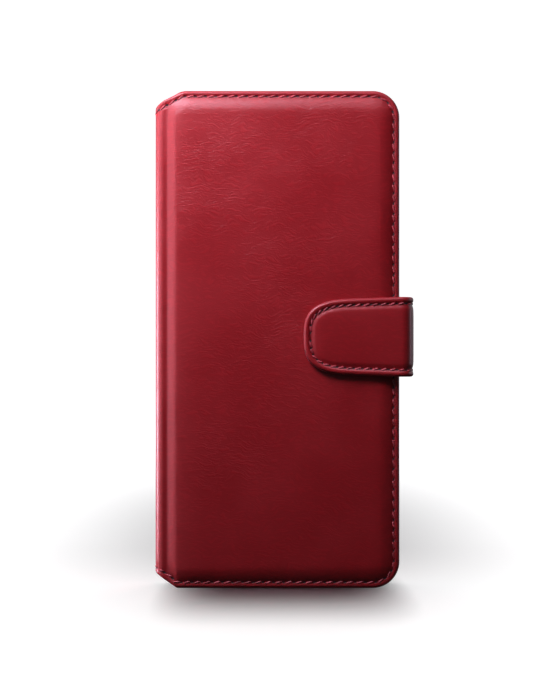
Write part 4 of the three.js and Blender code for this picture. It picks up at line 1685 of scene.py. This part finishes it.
    def _sew(self, name: str, line: Array, start: float) -> bpy.types.Object:
        """The stitches of a stretch, round the tip where it has one."""
        inward, runs = self._edge_frame(line, start)
        seam = line + inward * TabSewing.inset
        marks = stitch_marks(runs[0], TabSewing.pitch)
        a, z = (np.interp(marks, runs[::-1], seam[::-1, i]) for i in (0, 1))
        a2, z2 = (np.interp(marks - 0.3, runs[::-1], seam[::-1, i]) for i in (0, 1))
        height = self.half - self.channel
        places, alongs, ups = [], [], []
        for sign in (1.0, -1.0):
            xy, normal = self.path.at(a)
            xy2, _ = self.path.at(a2)
            up = np.stack([normal[:, 0], normal[:, 1], 0.0 * a], -1)
            lift = (height * self.thickness_share(a))[:, None]
            place = np.stack([xy[:, 0], xy[:, 1], self.middle_z + sign * z], -1) + up * lift
            other = np.stack([xy2[:, 0], xy2[:, 1], self.middle_z + sign * z2], -1) + up * lift
            places.append(place)
            alongs.append((other - place) * sign)
            ups.append(up)
        return sew(name, np.concatenate(places), np.concatenate(alongs), np.concatenate(ups),
                   TabSewing.stitch, self.finishes.thread)

    def flap(self) -> bpy.types.Object:
        """The tab on the front with its bend and half of the bridge, and its stitches."""
        piece, line = self._stretch("tab_flap_strap", 0.0, self.split)
        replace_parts(piece, "tab_flap_leather", "tab_flap_lining", "tab_bridge_leather")
        stitches = self._sew("tab_flap_stitches", line, 0.0)
        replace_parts(stitches, "tab_seam")
        for part in (piece, stitches):
            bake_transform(part)
        return piece

    def root(self) -> bpy.types.Object:
        """The other half of the bridge, the root bend and the end sewn into the back cover."""
        piece, _ = self._stretch("tab_root_strap", self.split, self.path.length)
        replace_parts(piece, "tab_root", "tab_bridge_lining")
        sewn = self._side_line(self.split, self._root_end(), 0.5)
        stitches = self._sew("tab_root_stitches", sewn, self.split)
        for part in (piece, stitches):
            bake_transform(part)
        return piece

    def _root_end(self) -> float:
        """Distance from the tip at which the strap has gone into the back cover."""
        return self.path.length - (self.fore_edge - self.root_x) - 0.6


# ---- Pockets -------------------------------------------------------------------------------


@dataclass
class Pockets:
    """The cash pocket and the stepped card pockets on the inside of the front cover."""

    finishes: Finishes
    notch: float = 8.0
    notch_depth: float = 4.0
    gape: float = 0.32
    hem: float = 1.3  # distance of the creased line from the mouth
    stitch: Stitch = Stitch(length=2.0, width=0.42, height=0.3, slant=0.1, sink=0.25)
    pitch: float = 2.6

    def _panel(self, node: str, notched: bool, gape: float, material: bpy.types.Material
               ) -> bpy.types.Object:
        """One pocket panel with a rolled mouth.

        Args:
            node: CAD node that it stands for.
            notched: Whether the mouth has a thumb cut.
            gape: How far the mouth stands open.
            material: Its finish.

        Returns:
            The panel.
        """
        low, high = box_mm(node)
        middle = (low[2] + high[2]) / 2.0
        radius = (high[1] - low[1]) / 2.0
        z = np.linspace(low[2], high[2], max(60, int((high[2] - low[2]) / 0.9)))
        cut = np.sqrt(np.clip(self.notch**2 - (z - middle) ** 2, 0.0, None)) - self.notch_depth
        cut = np.log1p(np.exp(np.clip(cut / 0.45, -40.0, 40.0))) * 0.45 if notched else 0.0 * z
        mouth = low[0] + cut
        right = np.full(z.shape, high[0])
        fore, _, top = box_mm("front_cover_leather")[1]
        inset, r = fore - high[0], Outline.corner
        if low[2] < r:
            from_end = np.minimum(z, top - z)
            bow = np.sqrt(np.clip((r - inset) ** 2 - np.clip(r - from_end, 0.0, None) ** 2, 0, None))
            right = np.where(from_end < r, fore - r + bow, right)
        share = np.concatenate([np.linspace(0.0, 0.12, 14), np.linspace(0.12, 1.0, 34)[1:]])
        turn = np.linspace(QUARTER, 3.0 * QUARTER, 9)[1:-1]
        span = (right - mouth - radius)[:, None]
        top_x = mouth[:, None] + radius + span * share
        round_x = mouth[:, None] + radius + radius * np.cos(turn)
        x = np.concatenate([top_x[:, ::-1], round_x, top_x], axis=1)
        side = np.concatenate([np.ones(len(share)), np.sin(turn), -np.ones(len(share))])
        past = x - mouth[:, None]
        ends = smooth((z - low[2]) / 9.0) * smooth((high[2] - z) / 9.0)
        lift = gape * bell(past / 4.5) * ends[:, None]
        crease = 0.07 * bell((past - self.hem) / 0.25) * (side > 0.5)
        y = (low[1] + high[1]) / 2.0 + side * radius + lift - crease
        points = np.stack([x, y, np.broadcast_to(z[:, None], x.shape)], -1)
        rows, columns = x.shape
        quads = grid_faces(rows, columns, False)
        walls = np.arange(rows) * columns
        right_wall = np.stack([walls[:-1], walls[1:], walls[1:] + columns - 1,
                               walls[:-1] + columns - 1], -1)
        count = columns // 2
        first = np.arange(columns)
        foot = np.stack([first[:count], first[1:count + 1], first[::-1][1:count + 1],
                         first[::-1][:count]], -1)
        head = foot[:, ::-1] + (rows - 1) * columns
        faces = [tuple(dict.fromkeys(face))
                 for face in np.concatenate([quads, right_wall, foot, head]).tolist()]
        faces = [face for face in faces if len(face) > 2]
        flat = np.stack([x, points[..., 2]], -1).reshape(-1, 2)
        piece = new_piece(f"{node}_panel", Surface(points.reshape(-1, 3), faces, flat), material)
        weld(piece, 0.0005)
        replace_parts(piece, node)
        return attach(piece, "front_cover")

    def build(self) -> None:
        """Makes every pocket and its sewing."""
        cash = self._panel("cash_pocket", False, 0.2, self.finishes.lining)
        LOG.info("cash pocket: %s", cash.name)
        for index in (1, 2, 3):
            gape = self.gape - 0.07 * (index - 1)
            card = self._panel(f"card_pocket_{index}", True, gape, self.finishes.pocket_leather)
            LOG.info("card pocket: %s", card.name)
        for end in ("upper", "lower"):
            self._card_seam(end)
        self._mouth_seam()

    def _card_seam(self, end: str) -> None:
        """The stitches over one end of the card pockets, stepping from panel to panel."""
        node = f"card_seam_{end}"
        low, high = box_mm(node)
        z = float(low[2] + high[2]) / 2.0
        boxes = [box_mm(f"card_pocket_{i}") for i in (1, 2, 3)]
        x = np.arange(boxes[0][0][0] + 2.0, high[0] - 1.5, self.pitch)
        face = np.full(x.shape, boxes[0][1][1])
        for panel_low, panel_high in boxes[1:]:
            face = np.where(x > panel_low[0] - 0.6, panel_high[1], face)
        places = np.stack([x, face, np.full(x.shape, z)], -1)
        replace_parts(self._row(f"{node}_stitches", places, (1.0, 0.0, 0.0)), node)

    def _mouth_seam(self) -> None:
        """The row of stitches along the hem of the cash pocket's mouth."""
        low, high = box_mm("cash_pocket")
        z = np.arange(low[2] + 3.0, high[2] - 3.0, self.pitch)
        x = np.full(z.shape, low[0] + 2.4)
        lift = 0.2 * math.exp(-((2.4 / 4.5) ** 2))
        ends = smooth((z - low[2]) / 9.0) * smooth((high[2] - z) / 9.0)
        places = np.stack([x, high[1] + lift * ends, z], -1)
        self._row("cash_pocket_stitches", places, (0.0, 0.0, 1.0))

    def _row(self, name: str, places: Array, along: tuple[float, ...]) -> bpy.types.Object:
        """A straight row of stitches on the inside of the front cover."""
        out = np.array([0.0, 1.0, 0.0])
        piece = sew(name, places, np.array(along), out, self.stitch, self.finishes.thread)
        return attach(piece, "front_cover")


# ---- Hidden and moulded pieces -------------------------------------------------------------


@dataclass
class Internals:
    """The pieces whose CAD shape stays: tray, boards, stiffeners, plate and magnets."""

    finishes: Finishes
    tray_bevel: float = 0.32

    def dress(self) -> None:
        """Gives each kept CAD node its finish."""
        finishes = self.finishes
        dressed = {
            "phone_tray": finishes.tray,
            "tray_pad": finishes.tape,
            "front_cover_board": finishes.board,
            "back_cover_board": finishes.board,
            "spine_stiffener": finishes.board,
            "tab_stiffener": finishes.foam,
            "front_catch_plate": finishes.steel,
            "tab_magnet_upper": finishes.nickel,
            "tab_magnet_lower": finishes.nickel,
        }
        for node, material in dressed.items():
            piece = frame["nodes"][node]
            piece.data.materials.clear()
            piece.data.materials.append(material)
            LOG.info("dressed %s", node)
        self._soften("phone_tray")

    def _soften(self, node: str) -> None:
        """Rounds the edges of a moulded piece and smooths its curved walls."""
        piece = frame["nodes"][node]
        piece.data.polygons.foreach_set("use_smooth", [True] * len(piece.data.polygons))
        piece.data.set_sharp_from_angle(angle=math.radians(32.0))
        bevel = piece.modifiers.new("moulded_edges", "BEVEL")
        bevel.width = self.tray_bevel * MM
        bevel.segments = 3
        bevel.limit_method = "ANGLE"
        bevel.angle_limit = math.radians(32.0)
        bevel.harden_normals = True


# ---- Studio --------------------------------------------------------------------------------


@dataclass(frozen=True)
class SoftLight:
    """A soft rectangular light that looks at a point."""

    name: str
    place: tuple[float, float, float]
    size: tuple[float, float]
    power: float
    aim: tuple[float, float, float] = (0.0, 0.0, 0.085)
    colour: Rgb = (1.0, 0.82, 1.0)
    gloss_only: bool = False  # a reflector that only shows as a sheen

    def make(self) -> bpy.types.Object:
        """Adds the light and returns it."""
        light = bpy.data.lights.new(self.name, "AREA")
        light.shape = "RECTANGLE"
        light.size, light.size_y = self.size
        light.energy = self.power
        light.color = self.colour
        lamp = bpy.data.objects.new(self.name, light)
        lamp.location = self.place
        lamp.visible_diffuse = not self.gloss_only
        way = Vector(self.aim) - Vector(self.place)
        lamp.rotation_euler = way.to_track_quat("-Z", "Y").to_euler()
        bpy.context.scene.collection.objects.link(lamp)
        return lamp


@dataclass(frozen=True)
class Studio:
    """Camera, floor, backdrop and lights."""

    focal: float = 100.0
    sensor: float = 36.0
    seen_height: float = 0.2419  # height of the view at the front cover
    aim_x: float = -0.0034
    aim_z: float = 0.0837
    half_width: float = 2.2
    depth: float = 1.3
    bend: float = 0.5
    bounce: Rgb = (0.03, 0.03, 0.03)
    glow: float = 1.0

    def camera(self) -> None:
        """Adds the camera, square to the front cover."""
        camera = bpy.data.cameras.new("camera")
        camera.lens, camera.sensor_width = self.focal, self.sensor
        camera.dof.use_dof = False
        eye = bpy.data.objects.new("camera", camera)
        distance = self.focal * self.seen_height / self.sensor
        eye.location = (self.aim_x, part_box("front_cover_board")[0].y - distance, self.aim_z)
        eye.rotation_euler = (QUARTER, 0.0, 0.0)
        bpy.context.scene.collection.objects.link(eye)
        bpy.context.scene.camera = eye

    def stage(self, effects: Effects) -> bpy.types.Object:
        """Adds the pale floor, which sweeps up into a backdrop.

        Args:
            effects: The shared node groups.

        Returns:
            The floor.
        """
        turns = np.linspace(0.0, QUARTER, 16)
        line = [(-self.depth, 0.0)]
        line += [(self.depth + self.bend * math.sin(t), self.bend * (1 - math.cos(t))) for t in turns]
        line.append((self.depth + self.bend, 2.0))
        rows = np.array(line)
        points = np.array([(x, y, z) for y, z in rows for x in (-self.half_width, self.half_width)])
        quads = grid_faces(len(rows), 2, False)
        floor = new_piece("floor", Surface(points / MM, quads), self._pale(effects), sharp=60.0)
        return floor

    def _pale(self, effects: Effects) -> bpy.types.Material:
        """A pale, matt finish that lights up white but throws little light back; its colour and its glow
        carry a painted pool of shade and a painted contact shadow.
        """
        graph, shader, material = new_material("pale_floor")
        place = place_mm(graph, False)
        mottle = graph.group(effects.mottle, {"Place": place, "Size": 300.0})
        share = graph.math("MULTIPLY", mottle.outputs["Cloud"], 0.1)
        pale = graph.mix(share, rgba((0.90, 0.90, 0.90)), rgba((0.88, 0.88, 0.88)))
        pool = graph.group(effects.pool, {"Place": place})
        # Painted shade: the floor's colour goes dark grey in the pool behind the case.
        colour = graph.mix(pool.outputs["Shade"], pale, rgba((0.20, 0.20, 0.20)))
        graph.feed(shader.inputs["Base Color"], colour)
        shader.inputs["Roughness"].default_value = 0.6
        # The camera-only glow that whitens the floor is dimmed by the painted pool of shade and the
        # painted contact shadow.
        glow = graph.mix(pool.outputs["Glow"], rgba((0.0, 0.0, 0.0)), pale)
        graph.feed(shader.inputs["Emission Color"], glow)
        shader.inputs["Emission Strength"].default_value = self.glow
        thrown = graph.mix(pool.outputs["Far"], rgba(self.bounce), rgba((0.80, 0.78, 0.82)))
        dim = graph.add("Emission", {"Color": thrown, "Strength": 1.0})
        seen = graph.add("LightPath").outputs["Is Camera Ray"]
        result = graph.add("MixShader", {0: seen, 1: dim.outputs[0], 2: shader.outputs[0]})
        output = next(n for n in graph.tree.nodes if n.type == "OUTPUT_MATERIAL")
        graph.feed(output.inputs["Surface"], result.outputs[0])
        return material

    @staticmethod
    def _lit(name: str, floor: bpy.types.Object, state: str) -> bpy.types.Collection:
        """A collection that lets a light reach the floor only, or all but the floor."""
        lit = bpy.data.collections.new(name)
        lit.objects.link(floor)
        lit.collection_objects[0].light_linking.link_state = state
        return lit

    def lights(self, floor: bpy.types.Object) -> None:
        """Adds the soft lights and the dim room.

        Args:
            floor: The floor, which has a light of its own.
        """
        case_lights = [
            SoftLight("key_light", (-0.12, -0.128, 0.294), (0.20, 0.09), 1.08),
            SoftLight("left_strip", (-0.26, 0.035, 0.07), (0.05, 0.14), 0.85),
            SoftLight("fold_sheet", (-0.36, -0.30, 0.20), (0.18, 0.36), 0.75, gloss_only=True),
            SoftLight("spine_sheet", (-0.46, -0.08, 0.10), (0.20, 0.50), 1.5, gloss_only=True),
            SoftLight("top_sheet", (-0.03, -0.29, 0.51), (0.50, 0.16), 1.1, gloss_only=True),
            SoftLight("right_strip", (0.50, 0.05, 0.14), (0.05, 0.40), 0.42, gloss_only=True),
        ]
        white = (1.0, 1.0, 1.0)
        floor_lights = [
            SoftLight("floor_light", (0.0, 0.75, 1.0), (1.4, 0.6), 2.5, (0.0, 0.1, 0.0), white),
        ]
        not_floor = self._lit("all_but_floor", floor, "EXCLUDE")
        only_floor = self._lit("only_floor", floor, "INCLUDE")
        for lights, reach in ((case_lights, not_floor), (floor_lights, only_floor)):
            for light in lights:
                light.make().light_linking.receiver_collection = reach
        world = bpy.data.worlds.new("dim_room")
        world.use_nodes = True
        graph = Graph(world.node_tree)
        seen = graph.add("LightPath").outputs["Is Camera Ray"]
        room = world.node_tree.nodes["Background"]
        way = graph.add("SeparateXYZ", {0: graph.add("TexCoord").outputs["Generated"]})
        behind = graph.step(way.outputs["Y"], 0.08, 0.6, 0.020, 0.75)
        graph.feed(room.inputs["Strength"], graph.math("MAXIMUM", seen, behind))
        graph.feed(room.inputs["Color"], rgba((1.0, 1.0, 1.0)))
        bpy.context.scene.world = world
        bpy.context.scene.view_settings.view_transform = "Standard"


def main() -> None:
    """Builds the case and its studio."""
    logging.basicConfig(level=logging.INFO, format="%(name)s: %(message)s")
    studio = Studio()
    studio.camera()
    effects = Effects()
    finishes = Finishes(effects)
    floor = studio.stage(effects)
    studio.lights(floor)
    shell = CaseShell(finishes)
    for side in Side:
        LOG.info("outer leather: %s", shell.outer(side).name)
        LOG.info("lining: %s", shell.inside(side).name)
    LOG.info("window rim: %s", shell.window_rim().name)
    LOG.info("foam pad: %s", shell.foam_pad().name)
    tab = MagneticTab(finishes)
    LOG.info("tab on the front: %s", tab.flap().name)
    LOG.info("tab at the back: %s", tab.root().name)
    Pockets(finishes).build()
    Internals(finishes).dress()


if __name__ == "__main__":
    main()
